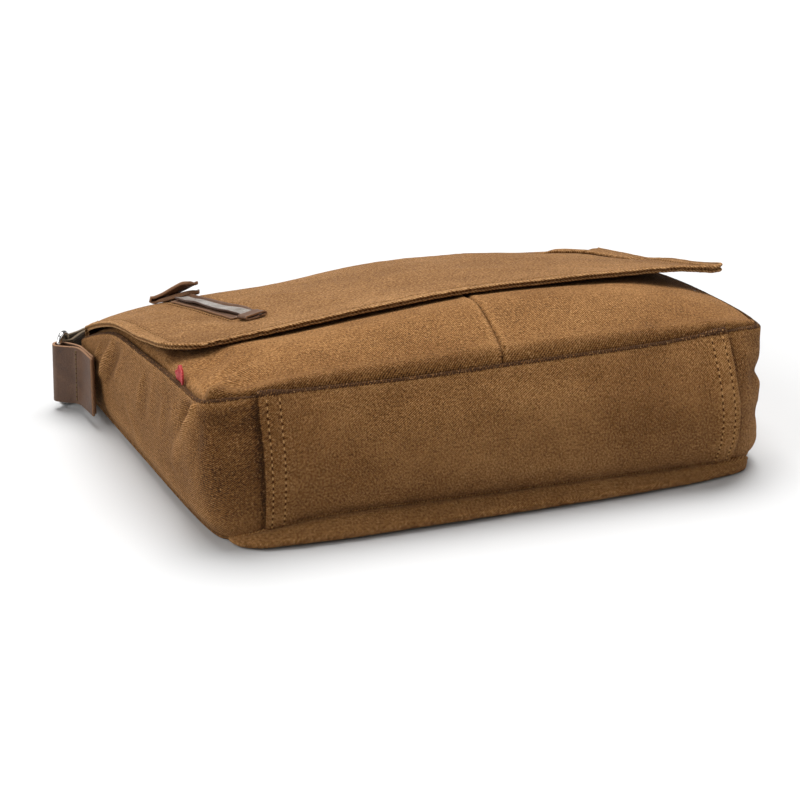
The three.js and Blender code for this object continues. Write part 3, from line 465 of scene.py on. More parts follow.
def holes(name, lines, mat, pitch=4.3, radius=0.55, depth=0.5, lift=0.04, slot="canvas", squash=0.8):
    """Needle holes between the stitches: small dimples, each a shallow closed lens set into the cloth and coloured dark
    as painted shade.
    """
    V, F = [], []
    k = np.arange(8) * np.pi / 4
    base = 0
    for points, norms in lines:
        d = np.r_[0, np.cumsum(np.linalg.norm(np.diff(points, axis=0), axis=1))]
        n = max(1, int(d[-1] / pitch))
        t = np.arange(1, n) * d[-1] / n
        f = lambda A: np.stack([np.interp(t, d, A[:, j]) for j in range(3)], 1)
        C, N = f(points), unit(f(norms))
        if len(C) < 2:
            continue
        T = unit(np.gradient(C, axis=0))
        B = unit(np.cross(N, T))
        ring = C[:, None] + (T[:, None] * np.cos(k)[None, :, None] * squash + B[:, None] * np.sin(k)[None, :, None]) * radius + N[:, None] * lift * 0.55
        up, dn = C + N * lift, C - N * depth
        Q = np.concatenate([ring, up[:, None], dn[:, None]], 1)
        m = len(C)
        I = base + np.arange(m * 10).reshape(m, 10)
        for j in range(8):
            jj = (j + 1) % 8
            F.append(np.stack([I[:, j], I[:, jj], I[:, 8]], 1))
            F.append(np.stack([I[:, jj], I[:, j], I[:, 9]], 1))
        V.append(Q.reshape(-1, 3))
        base += m * 10
    return mesh(name, np.concatenate(V), [np.concatenate(F)], mat, slot=slot)


def smooth_path(P, sub, extra=()):
    """Smooth line through the points P, sub steps between each two."""
    d = np.r_[0, np.cumsum(np.linalg.norm(np.diff(P, axis=0), axis=1))]
    t = np.concatenate([np.linspace(d[i], d[i + 1], sub, endpoint=False) for i in range(len(d) - 1)] + [[d[-1]]])
    f = lambda A: np.stack([hermite(d, A[:, k], t) for k in range(A.shape[1])], 1)
    return (f(P), *[f(e) for e in extra])


def ribbon(name, P, W, width, thick, mat, across=12, cut=0.3, bend=None, closed=False, taper=None, **kw):
    """A flat band of leather or webbing: centre line P, direction of its width W, rounded long edges. bend(a, i) lifts the section at a (-1..1 over the width)."""
    n = len(P)
    width = np.broadcast_to(np.asarray(width, float), (n,))
    if closed:
        T = unit(np.roll(P, -1, 0) - np.roll(P, 1, 0))
    else:
        T = unit(np.gradient(P, axis=0))
    W = unit(W - T * (W * T).sum(1, keepdims=True))
    M = np.cross(T, W)
    h = thick / 2
    r = min(cut, h * 0.98)
    ang = np.array([80, 50, 20]) * np.pi / 180
    a = np.linspace(-1, 1, across + 1)
    top = [(x, 0, h) for x in a]
    right = [(1, r * math.cos(t) - r, h - r + r * math.sin(t)) for t in ang] + [(1, r * math.cos(t) - r, -(h - r) - r * math.sin(t)) for t in ang[::-1]]
    # section points: share of the half width, set-in from the edge, height
    sec = [(x * 1.0, 0.0, h, 0.0) for x in a[1:-1]]
    sec = [(-1, r, h, 0.5)] + sec + [(1, r, h, 0.5)]
    sec += [(1, r - r * math.sin(math.pi / 2 - t), h - r + r * math.sin(t), 1.0) for t in ang[1:]] + [(1, r - r * math.sin(math.pi / 2 - t), -(h - r + r * math.sin(t)), 1.0) for t in ang[1:][::-1]]
    sec += [(1, r, -h, 0.5)] + [(x, 0.0, -h, 0.0) for x in a[1:-1][::-1]] + [(-1, r, -h, 0.5)]
    sec += [(-1, r - r * math.sin(math.pi / 2 - t), -(h - r + r * math.sin(t)), 1.0) for t in ang[1:]] + [(-1, r - r * math.sin(math.pi / 2 - t), h - r + r * math.sin(t), 1.0) for t in ang[1:][::-1]]
    sx, inset, sz, ed = (np.array(c) for c in zip(*sec))
    m = len(sec)
    k = width[:, None] / 2 * sx[None] - np.sign(sx)[None] * inset[None] * (np.abs(sx)[None] > 0.999)
    z = np.broadcast_to(sz[None], (n, m)).copy()
    if taper is not None:
        z = z * taper[:, None]
    if bend is not None:
        z = z + bend(sx[None], np.arange(n)[:, None])
    V = P[:, None] + W[:, None] * k[..., None] + M[:, None] * z[..., None]
    d = np.r_[0, np.cumsum(np.linalg.norm(np.diff(P, axis=0), axis=1))]
    cloth = np.stack([k, np.broadcast_to(d[:, None], (n, m)), np.zeros((n, m))], -1).reshape(-1, 3) * 0.001
    wear = np.broadcast_to(ed[None], (n, m)).copy()
    if not closed:
        wear[0] = wear[-1] = 1
    I = np.arange(n * m).reshape(n, m)
    J = np.roll(I, -1, 1)
    if closed:
        quads = np.stack([I, J, np.roll(J, -1, 0), np.roll(I, -1, 0)], -1).reshape(-1, 4)
        faces = [quads]
    else:
        quads = np.stack([I[:-1], J[:-1], J[1:], I[1:]], -1).reshape(-1, 4)
        faces = [quads, I[:1, ::-1], I[-1:]]
    return mesh(name, V.reshape(-1, 3), faces, mat, {"cloth": cloth, "wear": wear.ravel()}, **kw), V.reshape(n, m, 3), T, W, M


# ---------------------------------------------------------------- materials
def material(name):
    m = bpy.data.materials.new(name)
    m.use_nodes = True
    MATS[name] = m
    nt = m.node_tree
    nt.nodes.clear()
    out = nt.nodes.new("ShaderNodeOutputMaterial")
    bsdf = nt.nodes.new("ShaderNodeBsdfPrincipled")
    nt.links.new(bsdf.outputs[0], out.inputs[0])

    def node(kind, **kw):
        n = nt.nodes.new("ShaderNode" + kind)
        for k, v in kw.items():
            if k in n.inputs.keys():
                n.inputs[k].default_value = v
            else:
                setattr(n, k, v)
        return n

    def link(a, b):
        nt.links.new(a, b)

    return m, bsdf, node, link


def value(node, link, op, a, b, clamp=False):
    n = node("Math", operation=op, use_clamp=clamp)
    for i, x in enumerate((a, b)):
        if isinstance(x, (int, float)):
            n.inputs[i].default_value = x
        elif x is not None:
            link(x, n.inputs[i])
    return n.outputs[0]


def ramp(node, link, fac, stops):
    n = node("ValToRGB")
    n.color_ramp.interpolation = "EASE"
    el = n.color_ramp.elements
    while len(el) < len(stops):
        el.new(0.5)
    for e, (p, c) in zip(el, stops):
        e.position = p
        e.color = (*c, 1)
    link(fac, n.inputs[0])
    return n.outputs[0]


def mixc(node, link, fac, a, b, blend="MIX"):
    n = node("Mix", data_type="RGBA", blend_type=blend)
    n.clamp_factor = True
    for sock, x in ((n.inputs[0], fac), (n.inputs[6], a), (n.inputs[7], b)):
        if isinstance(x, (int, float)):
            sock.default_value = x
        elif isinstance(x, tuple):
            sock.default_value = (*x, 1)
        else:
            link(x, sock)
    return n.outputs[2]


def canvas(name, dark, mid, light, weave=0.00105, sheen=0.03, fine=1.0, k=1.0):
    """Washed cotton twill: diagonal ribs over the weft, uneven dye, pale slubs, and lighter or darker by the per-vertex
    tone, which is mostly painted shade and painted highlight on creases, seams and rolls.
    """
    m, bsdf, node, link = material(name)
    co = node("Attribute", attribute_name="cloth").outputs["Vector"]
    obj = node("TexCoord").outputs["Object"]
    tone_and_shade = node("Attribute", attribute_name="tone_and_shade").outputs["Fac"]
    wobble = node("TexNoise", Scale=55.0, Detail=2.0)
    link(co, wobble.inputs["Vector"])
    bent = node("VectorMath", operation="MULTIPLY_ADD")
    link(wobble.outputs["Color"], bent.inputs[0])
    bent.inputs[1].default_value = (0.0022, 0.0022, 0)
    link(co, bent.inputs[2])
    rot = node("Mapping")
    rot.inputs["Rotation"].default_value = (0, 0, math.radians(57))
    link(bent.outputs[0], rot.inputs["Vector"])
    rib = node("TexWave", wave_type="BANDS", bands_direction="X", wave_profile="SIN")
    rib.inputs["Scale"].default_value = 0.314 / weave
    rib.inputs["Distortion"].default_value = 0.6
    rib.inputs["Detail"].default_value = 2.0
    rib.inputs["Detail Scale"].default_value = 2.2
    link(rot.outputs[0], rib.inputs["Vector"])
    weft = node("TexWave", wave_type="BANDS", bands_direction="Y", wave_profile="SIN")
    weft.inputs["Scale"].default_value = 0.314 / (weave * 0.62)
    weft.inputs["Distortion"].default_value = 0.8
    weft.inputs["Detail Scale"].default_value = 2.0
    link(co, weft.inputs["Vector"])
    slub = node("TexNoise", Scale=720.0 * k, Detail=2.0, Roughness=0.6)
    link(co, slub.inputs["Vector"])
    stretched = node("Mapping")
    stretched.inputs["Scale"].default_value = (420 * k, 900 * k, 420 * k)
    link(rot.outputs[0], stretched.inputs["Vector"])
    yarn = node("TexNoise", Scale=1.0, Detail=2.0, Roughness=0.6)
    link(stretched.outputs[0], yarn.inputs["Vector"])
    dye = node("TexNoise", Scale=16.0, Detail=4.0, Roughness=0.6)
    link(obj, dye.inputs["Vector"])
    wash = node("TexNoise", Scale=110.0, Detail=4.0, Roughness=0.65, Distortion=0.4)
    link(obj, wash.inputs["Vector"])
    c = lambda n, k: value(node, link, "MULTIPLY", value(node, link, "SUBTRACT", n, 0.5), k)
    # thread height
    h = value(node, link, "ADD", c(rib.outputs["Fac"], 1.0), c(weft.outputs["Fac"], 0.45))
    h = value(node, link, "ADD", h, c(slub.outputs["Fac"], 2.9))
    h = value(node, link, "ADD", h, c(yarn.outputs["Fac"], 1.5))
    # colour: dye and wash set the shade, threads vary it
    shade = value(node, link, "ADD", c(dye.outputs["Fac"], 0.42), c(wash.outputs["Fac"], 0.34))
    shade = value(node, link, "ADD", shade, value(node, link, "MULTIPLY", h, 0.5 * fine))
    # per-vertex tone: mostly painted shade and painted highlight laid on by the meshes
    shade = value(node, link, "ADD", shade, value(node, link, "MULTIPLY", tone_and_shade, 0.2))
    shade = value(node, link, "ADD", shade, 0.5, clamp=True)
    col = ramp(node, link, shade, [(0.0, dark), (0.5, mid), (1.0, light)])
    fleck = node("TexNoise", Scale=1150.0 * k, Detail=1.0, Roughness=0.5)
    link(co, fleck.inputs["Vector"])
    pale = ramp(node, link, fleck.outputs["Fac"], [(0.63, (0, 0, 0)), (0.73, (1, 1, 1))])
    col = mixc(node, link, value(node, link, "MULTIPLY", pale, 0.55 * fine), col, tuple(min(1, 1.35 * x + 0.03) for x in light))
    link(col, bsdf.inputs["Base Color"])
    b = node("Bump", Strength=1.0, Distance=0.00034)
    link(value(node, link, "ADD", h, 1.0), b.inputs["Height"])
    link(b.outputs[0], bsdf.inputs["Normal"])
    bsdf.inputs["Roughness"].default_value = 0.88
    bsdf.inputs["Specular IOR Level"].default_value = 0.12
    bsdf.inputs["Sheen Weight"].default_value = sheen
    bsdf.inputs["Sheen Roughness"].default_value = 0.4
    bsdf.inputs["Sheen Tint"].default_value = (1.0, 0.88, 0.74, 1)
    return m


def leather(name, dark, mid, light, edge, rough=0.5, grain=900.0, bump=0.00022, coat=0.0, contrast=1.0):
    """Leather: pebbled grain, uneven dye, scuffs, and raw cut edges of another colour."""
    m, bsdf, node, link = material(name)
    obj = node("TexCoord").outputs["Object"]
    wear = node("Attribute", attribute_name="wear").outputs["Fac"]
    cell = node("TexVoronoi", Scale=grain)
    link(obj, cell.inputs["Vector"])
    fine = node("TexNoise", Scale=grain * 1.6, Detail=4.0, Roughness=0.6)
    link(obj, fine.inputs["Vector"])
    dye = node("TexNoise", Scale=70.0, Detail=5.0, Roughness=0.6)
    link(obj, dye.inputs["Vector"])
    scuff = node("TexNoise", Scale=260.0, Detail=6.0, Roughness=0.7, Distortion=0.8)
    link(obj, scuff.inputs["Vector"])
    sh = value(node, link, "ADD", value(node, link, "MULTIPLY", dye.outputs["Fac"], 0.8), value(node, link, "MULTIPLY", value(node, link, "SUBTRACT", fine.outputs["Fac"], 0.5), 0.7))
    sh = value(node, link, "ADD", sh, value(node, link, "MULTIPLY", value(node, link, "SUBTRACT", scuff.outputs["Fac"], 0.5), 0.6 * contrast))
    sh = value(node, link, "ADD", sh, 0.1, clamp=True)
    col = ramp(node, link, sh, [(0.15, dark), (0.5, mid), (0.9, light)])
    fuzz = value(node, link, "ADD", wear, value(node, link, "MULTIPLY", value(node, link, "SUBTRACT", scuff.outputs["Fac"], 0.5), 0.9))
    side = ramp(node, link, fuzz, [(0.55, (0, 0, 0)), (0.85, (1, 1, 1))])
    edged = ramp(node, link, fine.outputs["Fac"], [(0.3, tuple(0.55 * c for c in edge)), (0.7, edge)])
    col = mixc(node, link, side, col, edged)
    link(col, bsdf.inputs["Base Color"])
    h = value(node, link, "ADD", value(node, link, "MULTIPLY", cell.outputs["Distance"], 0.8), value(node, link, "MULTIPLY", fine.outputs["Fac"], 0.5))
    h = value(node, link, "ADD", h, value(node, link, "MULTIPLY", scuff.outputs["Fac"], 0.6))
    b = node("Bump", Strength=0.8, Distance=bump)
    link(h, b.inputs["Height"])
    link(b.outputs[0], bsdf.inputs["Normal"])
    r = value(node, link, "ADD", value(node, link, "MULTIPLY", scuff.outputs["Fac"], 0.3), rough - 0.15)
    r = value(node, link, "ADD", r, value(node, link, "MULTIPLY", side, 0.3), clamp=True)
    link(r, bsdf.inputs["Roughness"])
    bsdf.inputs["Specular IOR Level"].default_value = 0.45
    bsdf.inputs["Coat Weight"].default_value = coat
    bsdf.inputs["Coat Roughness"].default_value = 0.35
    return m


def webbing(name, dark, mid, light):
    """Cotton webbing: ribs along the strap crossed by picks."""
    m, bsdf, node, link = material(name)
    co = node("Attribute", attribute_name="cloth").outputs["Vector"]
    rib = node("TexWave", wave_type="BANDS", bands_direction="X", wave_profile="SIN")
    rib.inputs["Scale"].default_value = 0.314 / 0.0016
    rib.inputs["Distortion"].default_value = 0.5
    link(co, rib.inputs["Vector"])
    pick = node("TexWave", wave_type="BANDS", bands_direction="Y", wave_profile="SIN")
    pick.inputs["Scale"].default_value = 0.314 / 0.0011
    pick.inputs["Distortion"].default_value = 0.6
    link(co, pick.inputs["Vector"])
    yarn = node("TexNoise", Scale=700.0, Detail=3.0, Roughness=0.6)
    link(co, yarn.inputs["Vector"])
    dye = node("TexNoise", Scale=40.0, Detail=4.0)
    link(co, dye.inputs["Vector"])
    h = value(node, link, "MULTIPLY", rib.outputs["Fac"], value(node, link, "ADD", value(node, link, "MULTIPLY", pick.outputs["Fac"], 0.7), 0.3))
    h = value(node, link, "ADD", h, value(node, link, "MULTIPLY", yarn.outputs["Fac"], 0.4))
    sh = value(node, link, "ADD", value(node, link, "MULTIPLY", h, 0.5), value(node, link, "MULTIPLY", dye.outputs["Fac"], 0.4), clamp=True)
    link(ramp(node, link, sh, [(0.15, dark), (0.5, mid), (0.85, light)]), bsdf.inputs["Base Color"])
    b = node("Bump", Strength=1.0, Distance=0.0005)
    link(h, b.inputs["Height"])
    link(b.outputs[0], bsdf.inputs["Normal"])
    bsdf.inputs["Roughness"].default_value = 0.88
    bsdf.inputs["Sheen Weight"].default_value = 0.12
    return m


def thread(name, pale, end_shade):
    """Sewing thread: twisted plies, with painted shade at the ends where it dives into the cloth."""
    m, bsdf, node, link = material(name)
    sh = node("Attribute", attribute_name="shade").outputs["Fac"]
    co = node("Attribute", attribute_name="cloth").outputs["Vector"]
    n = node("TexNoise", Scale=900.0, Detail=2.0)
    link(co, n.inputs["Vector"])
    ply = node("TexWave", wave_type="BANDS", bands_direction="X")
    ply.inputs["Scale"].default_value = 0.314 / 0.0006
    link(co, ply.inputs["Vector"])
    f = value(node, link, "ADD", sh, value(node, link, "MULTIPLY", value(node, link, "SUBTRACT", n.outputs["Fac"], 0.5), 0.5))
    col = ramp(node, link, f, [(0.12, end_shade), (0.5, tuple(0.6 * c for c in pale)), (0.8, pale)])
    link(col, bsdf.inputs["Base Color"])
    b = node("Bump", Strength=0.7, Distance=0.0001)
    link(ply.outputs["Fac"], b.inputs["Height"])
    link(b.outputs[0], bsdf.inputs["Normal"])
    bsdf.inputs["Roughness"].default_value = 0.7
    bsdf.inputs["Specular IOR Level"].default_value = 0.25
    return m


def steel(name):
    m, bsdf, node, link = material(name)
    obj = node("TexCoord").outputs["Object"]
    n = node("TexNoise", Scale=420.0, Detail=5.0, Roughness=0.7)
    link(obj, n.inputs["Vector"])
    link(ramp(node, link, n.outputs["Fac"], [(0.3, (0.52, 0.51, 0.5)), (0.7, (0.72, 0.71, 0.7))]), bsdf.inputs["Base Color"])
    bsdf.inputs["Metallic"].default_value = 1.0
    link(value(node, link, "ADD", value(node, link, "MULTIPLY", n.outputs["Fac"], 0.22), 0.08), bsdf.inputs["Roughness"])
    b = node("Bump", Strength=0.3, Distance=0.00005)
    link(n.outputs["Fac"], b.inputs["Height"])
    link(b.outputs[0], bsdf.inputs["Normal"])
    return m


def red_tape(name):
    m, bsdf, node, link = material(name)
    co = node("Attribute", attribute_name="cloth").outputs["Vector"]
    w = node("TexWave", wave_type="BANDS", bands_direction="Y")
    w.inputs["Scale"].default_value = 0.314 / 0.0007
    w.inputs["Distortion"].default_value = 0.8
    link(co, w.inputs["Vector"])
    n = node("TexNoise", Scale=420.0, Detail=4.0)
    link(co, n.inputs["Vector"])
    f = value(node, link, "ADD", value(node, link, "MULTIPLY", w.outputs["Fac"], 0.35), value(node, link, "MULTIPLY", n.outputs["Fac"], 0.7), clamp=True)
    link(ramp(node, link, f, [(0.25, (0.22, 0.003, 0.006)), (0.55, (0.42, 0.009, 0.014)), (0.88, (0.62, 0.1, 0.09))]), bsdf.inputs["Base Color"])
    b = node("Bump", Strength=0.8, Distance=0.0002)
    link(w.outputs["Fac"], b.inputs["Height"])
    link(b.outputs[0], bsdf.inputs["Normal"])
    bsdf.inputs["Roughness"].default_value = 0.42
    return m


canvas("canvas", (0.033, 0.0122, 0.0027), (0.194, 0.082, 0.0212), (0.42, 0.225, 0.088))
# the flap's copy of the canvas: a paler, less saturated ramp that stands in for the grazing sheen on its top (painted
# sheen), and a coarser weave
canvas("canvas_flap", (0.063, 0.023, 0.005), (0.175, 0.079, 0.0235), (0.41, 0.228, 0.096), weave=0.0013, fine=1.0, k=0.78)
leather("hide", (0.032, 0.0125, 0.0055), (0.078, 0.034, 0.0145), (0.16, 0.083, 0.043), (0.26, 0.13, 0.06), rough=0.5)
# pale grey leather for the top of the flap strap: partly the leather's wear, partly painted sheen standing in for the
# reflection on its top
leather("hide_worn", (0.06, 0.045, 0.034), (0.19, 0.165, 0.145), (0.46, 0.43, 0.4), (0.07, 0.032, 0.018), rough=0.36, contrast=2.1)
webbing("webbing", (0.035, 0.021, 0.008), (0.08, 0.05, 0.021), (0.16, 0.105, 0.05))
thread("thread_tan", (0.47, 0.25, 0.082), (0.05, 0.02, 0.006))
thread("thread_mid", (0.27, 0.135, 0.042), (0.03, 0.012, 0.004))
thread("thread_dark", (0.07, 0.032, 0.011), (0.012, 0.005, 0.002))
thread("thread_olive", (0.15, 0.1, 0.035), (0.02, 0.012, 0.006))
steel("ring_steel")
red_tape("red_cloth")
# needle holes: the dark brown is painted shade for the inside of each hole
m, bsdf, node, link = material("needle_hole_shade")
n_ = node("TexNoise", Scale=900.0)
link(node("TexCoord").outputs["Object"], n_.inputs["Vector"])
link(ramp(node, link, n_.outputs["Fac"], [(0.3, (0.034, 0.0135, 0.0035)), (0.7, (0.07, 0.028, 0.0075))]), bsdf.inputs["Base Color"])
bsdf.inputs["Roughness"].default_value = 0.95
bsdf.inputs["Specular IOR Level"].default_value = 0.08

# ---------------------------------------------------------------- side walls: gussets and bottom panel
# creases of the walls: station, share of the height, station, share, height, width (mm)
SIDE_FOLDS = [
    (82, 0.93, 47, 0.53, 2.7, 3.4), (94, 0.88, 62, 0.48, -2.6, 6), (53, 0.9, 38, 0.7, 1.3, 3.2), (110, 0.9, 88, 0.6, 1.1, 4), (153, 0.86, 138, 0.55, 1.4, 3.2), (161, 0.84, 150, 0.5, -1.3, 6),
    (112, 0.5, 128, 0.2, 0.9, 6), (175, 0.95, 168, 0.6, 0.6, 4), (200, 0.85, 186, 0.5, 0.8, 4), (108, 0.75, 96, 0.45, 0.7, 4),
    (260, 1.0, 255, 0.9, 3.3, 3.0), (255, 0.9, 240, 0.71, 3.0, 3.4), (240, 0.71, 214, 0.38, 2.0, 5), (246, 0.96, 232, 0.8, -3.6, 4.4), (238, 0.8, 226, 0.64, -1.8, 5),
    (268, 0.88, 258, 0.6, -2.4, 6.5), (272, 0.9, 296, 0.84, -1.5, 8), (283, 0.7, 300, 0.66, 1.0, 8), (221, 0.9, 214, 0.7, 0.8, 3.5), (205, 0.5, 222, 0.25, 0.6, 8),
    (291, 0.9, 302, 0.93, 1.5, 2.6), (284, 0.86, 296, 0.88, 0.7, 2.4), (266, 0.97, 300, 0.965, 0.9, 2.4),
    (380, 0.45, 470, 0.3, 0.9, 16), (500, 0.5, 600, 0.42, -0.9, 18), (430, 0.75, 520, 0.66, 0.6, 12),
    (650, 0.9, 668, 0.78, 1.0, 5), (652, 0.28, 676, 0.18, 1.3, 6), (655, 0.6, 680, 0.52, 0.8, 8), (660, 0.66, 700, 0.72, -4.2, 6.5), (664, 0.36, 694, 0.3, -1.2, 6),
    (662, 0.1, 715, 0.12, 3.6, 8), (704, 0.37, 684, 0.57, 1.0, 3),
    (760, 0.8, 790, 0.5, 1.0, 9), (820, 0.4, 860, 0.7, 0.8, 9),
]


def side_grid(ss, lap):
    """Points of the wall over stations ss; lap(s) moves it out of its middle surface where panels lap. Rows run from the turned-in lower edge to the turned-in upper one."""
    turn = np.radians(np.linspace(112, 12, 7))
    heights = spaced(0, 90, 1.75, fine=[(0, 6, 0.9), (84, 90, 0.9)], lips=(0, 0)) / 90
    P, rows = [], []
    ib, of = outward(ss, np.zeros(len(ss))), outward(ss, np.ones(len(ss)))
    o = outward(ss, np.full(len(ss), 0.5))
    up = np.array([0, 0, 1.0])
    B, F = back(ss), front(ss) - up * np.interp(ss, SEAM_LOW["s"], SEAM_LOW["d"])[:, None]
    for t in turn:
        P.append(B + ib * (ROLL * (math.cos(t) - 1)) - up * (ROLL * math.sin(t)))
        rows.append((0.0, -ROLL * t))
    out = along(BODY, "s", ss, "out")
    for v in heights:
        P.append(mix(B, F, v) + o * (out * math.sin(math.pi * v ** 0.85))[:, None])
        rows.append((v, v * 90))
    for t in turn[::-1]:
        P.append(F + of * (ROLL * (math.cos(t) - 1)) + up * (ROLL * math.sin(t)))
        rows.append((1.0, 90 + ROLL * t))
    P = np.stack(P)
    v = np.array([r[0] for r in rows])[:, None] * np.ones((1, len(ss)))
    hgt = np.linalg.norm(front(ss) - back(ss), axis=1)[None]
    w = v * hgt
    S = np.broadcast_to(ss[None], v.shape)
    N = normals(P)
    N = N * np.sign((N * o[None]).sum(-1).mean())
    quiet = smooth(v / 0.09) * smooth((1 - v) / 0.09)
    D = 0.85 * rumple(S, w, 31.0) * (0.12 + 0.88 * quiet)
    for s1, v1, s2, v2, h, wd in SIDE_FOLDS:
        h1, h2 = v1 * 90, v2 * 90
        dx, dy = s2 - s1, h2 - h1
        t = np.clip(((S - s1) * dx + (v * 90 - h1) * dy) / (dx * dx + dy * dy), 0, 1)
        d = np.hypot(S - s1 - dx * t, v * 90 - h1 - dy * t) / wd
        D = D + h * np.exp(-d * d) * (0.35 + 0.65 * np.sin(np.pi * np.clip(t, 0.05, 0.95))) * smooth(v / 0.05) * smooth((1 - v) / 0.03)
    # drawn in along the stitch rows, with small puckers beside them
    for at in STITCH_S:
        d = np.abs(S - at)
        D = D - 0.4 * np.exp(-(d / 1.0) ** 2) * lap_zone(S)
        D = D + 0.3 * np.exp(-(d / 5.5) ** 2) * perlin(w / 4.6, S * 0 + at, 2.0) * lap_zone(S)
    # small gathers along the seams
    for vv, k in ((0.0, 61.0), (1.0, 77.0)):
        d = np.abs(v - vv) * 90
        D = D + 0.28 * np.exp(-((d - 4) / 5.0) ** 2) * perlin(S / 5.5, d / 12, k)
    foot = (1 - smooth((ss - 256) / 30)) + smooth((ss - 668) / 24)
    D = D + 1.5 * foot[None] * np.exp(-((w - 11) / 8.0) ** 2)
    D = D + lap(ss)[None] * np.ones_like(v)
    P = P + N * D[..., None]
    inside = np.array([r[1] > 90.5 or r[1] < -0.5 for r in rows], float)[:, None]
    # tone of the walls: lighter bands beside both seams; crease ridges lighter and valleys darker as painted highlight
    # and painted shade; the turned-in edges dark as painted shade inside the seams
    tone_and_shade = 0.35 * np.exp(-(np.abs(v - 1) * 90 / 3.0) ** 2) + 0.3 * np.exp(-(v * 90 / 3.0) ** 2) + 0.4 * np.clip(D, -1.6, 1.8) * quiet - 3.2 * inside
    # painted shade on the fold facet at the left corner
    tone_and_shade = tone_and_shade - 1.05 * smooth((S - 258) / 12) * smooth((318 - S) / 16) * smooth((v - 0.02) / 0.2) * smooth((1.02 - v) / 0.08)
    # painted shadow: a dark line under the lapped edge at each seam
    tone_and_shade = tone_and_shade - 1.5 * (np.exp(-((S - SEAM_S + 2.4) / 1.4) ** 2) + np.exp(-((S - S_END + SEAM_S - 2.4) / 1.4) ** 2))
    cloth = np.stack([S, np.array([r[1] for r in rows])[:, None] * np.ones_like(S) * hgt / 90, np.zeros_like(S)], -1) * 0.001
    return P, N, D, tone_and_shade, cloth, heights, len(turn)


STITCH_S = (SEAM_S + 3.5, SEAM_S + 12.1, S_END - SEAM_S - 3.5, S_END - SEAM_S - 12.1)


def lap_zone(S):
    return ((S > SEAM_S + 0.5) & (S < S_END - SEAM_S - 0.5)).astype(float)


def build_wall(name, node, a, b, lap, fine, lips=(1, 1)):
    ss = spaced(a, b, 2.0, fine=fine, lips=lips)
    P, N, D, tone_and_shade, cloth, heights, nt = side_grid(ss, lap)
    # orientation: outside is +N, the shell takes its normals from the grid itself
    if (normals(P) * N).sum(-1).mean() < 0:
        P, tone_and_shade, cloth, N = P[:, ::-1], tone_and_shade[:, ::-1], cloth[:, ::-1], N[:, ::-1]
        ss = ss[::-1]
    V, F, src, top = shell(P, CLOTH)
    ob = mesh(name, V, F, "canvas", {"cloth": cloth.reshape(-1, 3)[src], "tone_and_shade": tone_and_shade.ravel()[src]}, replaces=(node,), slot="canvas")
    return ob, ss, heights, nt, top, N


gusset_l = build_wall("gusset_left_cloth", "gusset_left", 0.0, SEAM_S + 9, lambda s: -1.0 * smooth((s - SEAM_S + 13) / 10), [(240, SEAM_S + 9, 1.4)])
gusset_r = build_wall("gusset_right_cloth", "gusset_right", S_END - SEAM_S - 9, S_END, lambda s: -1.0 * smooth((S_END - SEAM_S + 13 - s) / 10), [(S_END - SEAM_S - 9, 700, 1.4)])
lapped = lambda s: 1.5 * smooth((SEAM_S + 22 - s) / 16) + 1.5 * smooth((s - (S_END - SEAM_S - 22)) / 16)
bottom = build_wall("bottom_panel_cloth", "bottom_panel", SEAM_S - 1, S_END - SEAM_S + 1, lapped, [(SEAM_S - 1, SEAM_S + 17, 0.62), (S_END - SEAM_S - 17, S_END - SEAM_S + 1, 0.62)])

_, ss, heights, nt, top, N = bottom
if ss[0] > ss[-1]:
    ss, top, N = ss[::-1], top[:, ::-1], N[:, ::-1]
rows = top[nt:-nt]
hv = np.linspace(0.0, 1.0, 90)
seam_lines = []
for at in STITCH_S:
    pts = sample(rows, ss, heights, np.full(90, at), hv)
    nn = sample(N[nt:-nt], ss, heights, np.full(90, at), hv)
    seam_lines.append((pts, nn))
stitches("seam_stitches", seam_lines, "thread_tan", pitch=4.3, length=2.6, radius=0.46, lift=0.32)
holes("seam_holes", seam_lines, "needle_hole_shade", pitch=4.3, radius=0.9, lift=0.2, squash=1.1)

# ---------------------------------------------------------------- back panel
ss = spaced(0, S_END, 2.6, lips=(0, 0))
prof = np.array([(0, 1), (0.45, 1.0), (0.7, 0.8), (0.95, 0.5), (0.93, 0.3), (0.8, 0.12), (0.5, 0.02), (0.2, 0), (-0.5, 0), (-1.2, 0)])
prof = smooth_path(np.c_[prof * (10, 10), np.zeros(len(prof))], 3)[0][:, :2] / 10
Bk, ob_, roll = back(ss), outward(ss, np.zeros(len(ss))), along(BODY, "s", ss, "roll")
roll = roll * (1 - 0.72 * smooth((ss - 606) / 62))
edge_out = CLOTH / 2 + GAP + 0.9
P = []
curl = np.radians([150, 120, 90, 60, 30])
top_z = Bk[:, 2] - 1.2
for c in curl:                                       # the edge turned in against the wall
    q = Bk + ob_ * (edge_out - 0.9 + 0.9 * math.cos(c))
    P.append(np.c_[q[:, :2], top_z + 0.9 * math.sin(c)])
for o, z in prof:
    q = Bk + ob_ * np.where(o >= 0, mix(edge_out, edge_out + roll, o), edge_out + o * 9)[:, None]
    zz = mix(CLOTH / 2, top_z, z)
    P.append(np.c_[q[:, :2], zz])
P = np.stack(P)
nr, m = P.shape[:2]
rolled = (smooth((ss - 258) / 26) * smooth((680 - ss) / 24))[None, :, None]
tuck = np.stack([np.c_[(Bk + ob_ * mix(-0.3, -0.3 + edge_out - 13.3, j / (nr - 1.0)))[:, :2], np.full(m, CLOTH / 2)] for j in range(nr)])
P = mix(tuck, P, rolled)
S = np.broadcast_to(ss[None], (nr, m))
Rr = np.arange(nr)[:, None] * np.ones((1, m))
bulge = np.sin(np.pi * np.clip((Rr - 4) / (nr - 12), 0, 1)) * smooth((roll - 0.9) / 5)[None] * rolled[..., 0]
o3 = np.broadcast_to(ob_[None], P.shape)
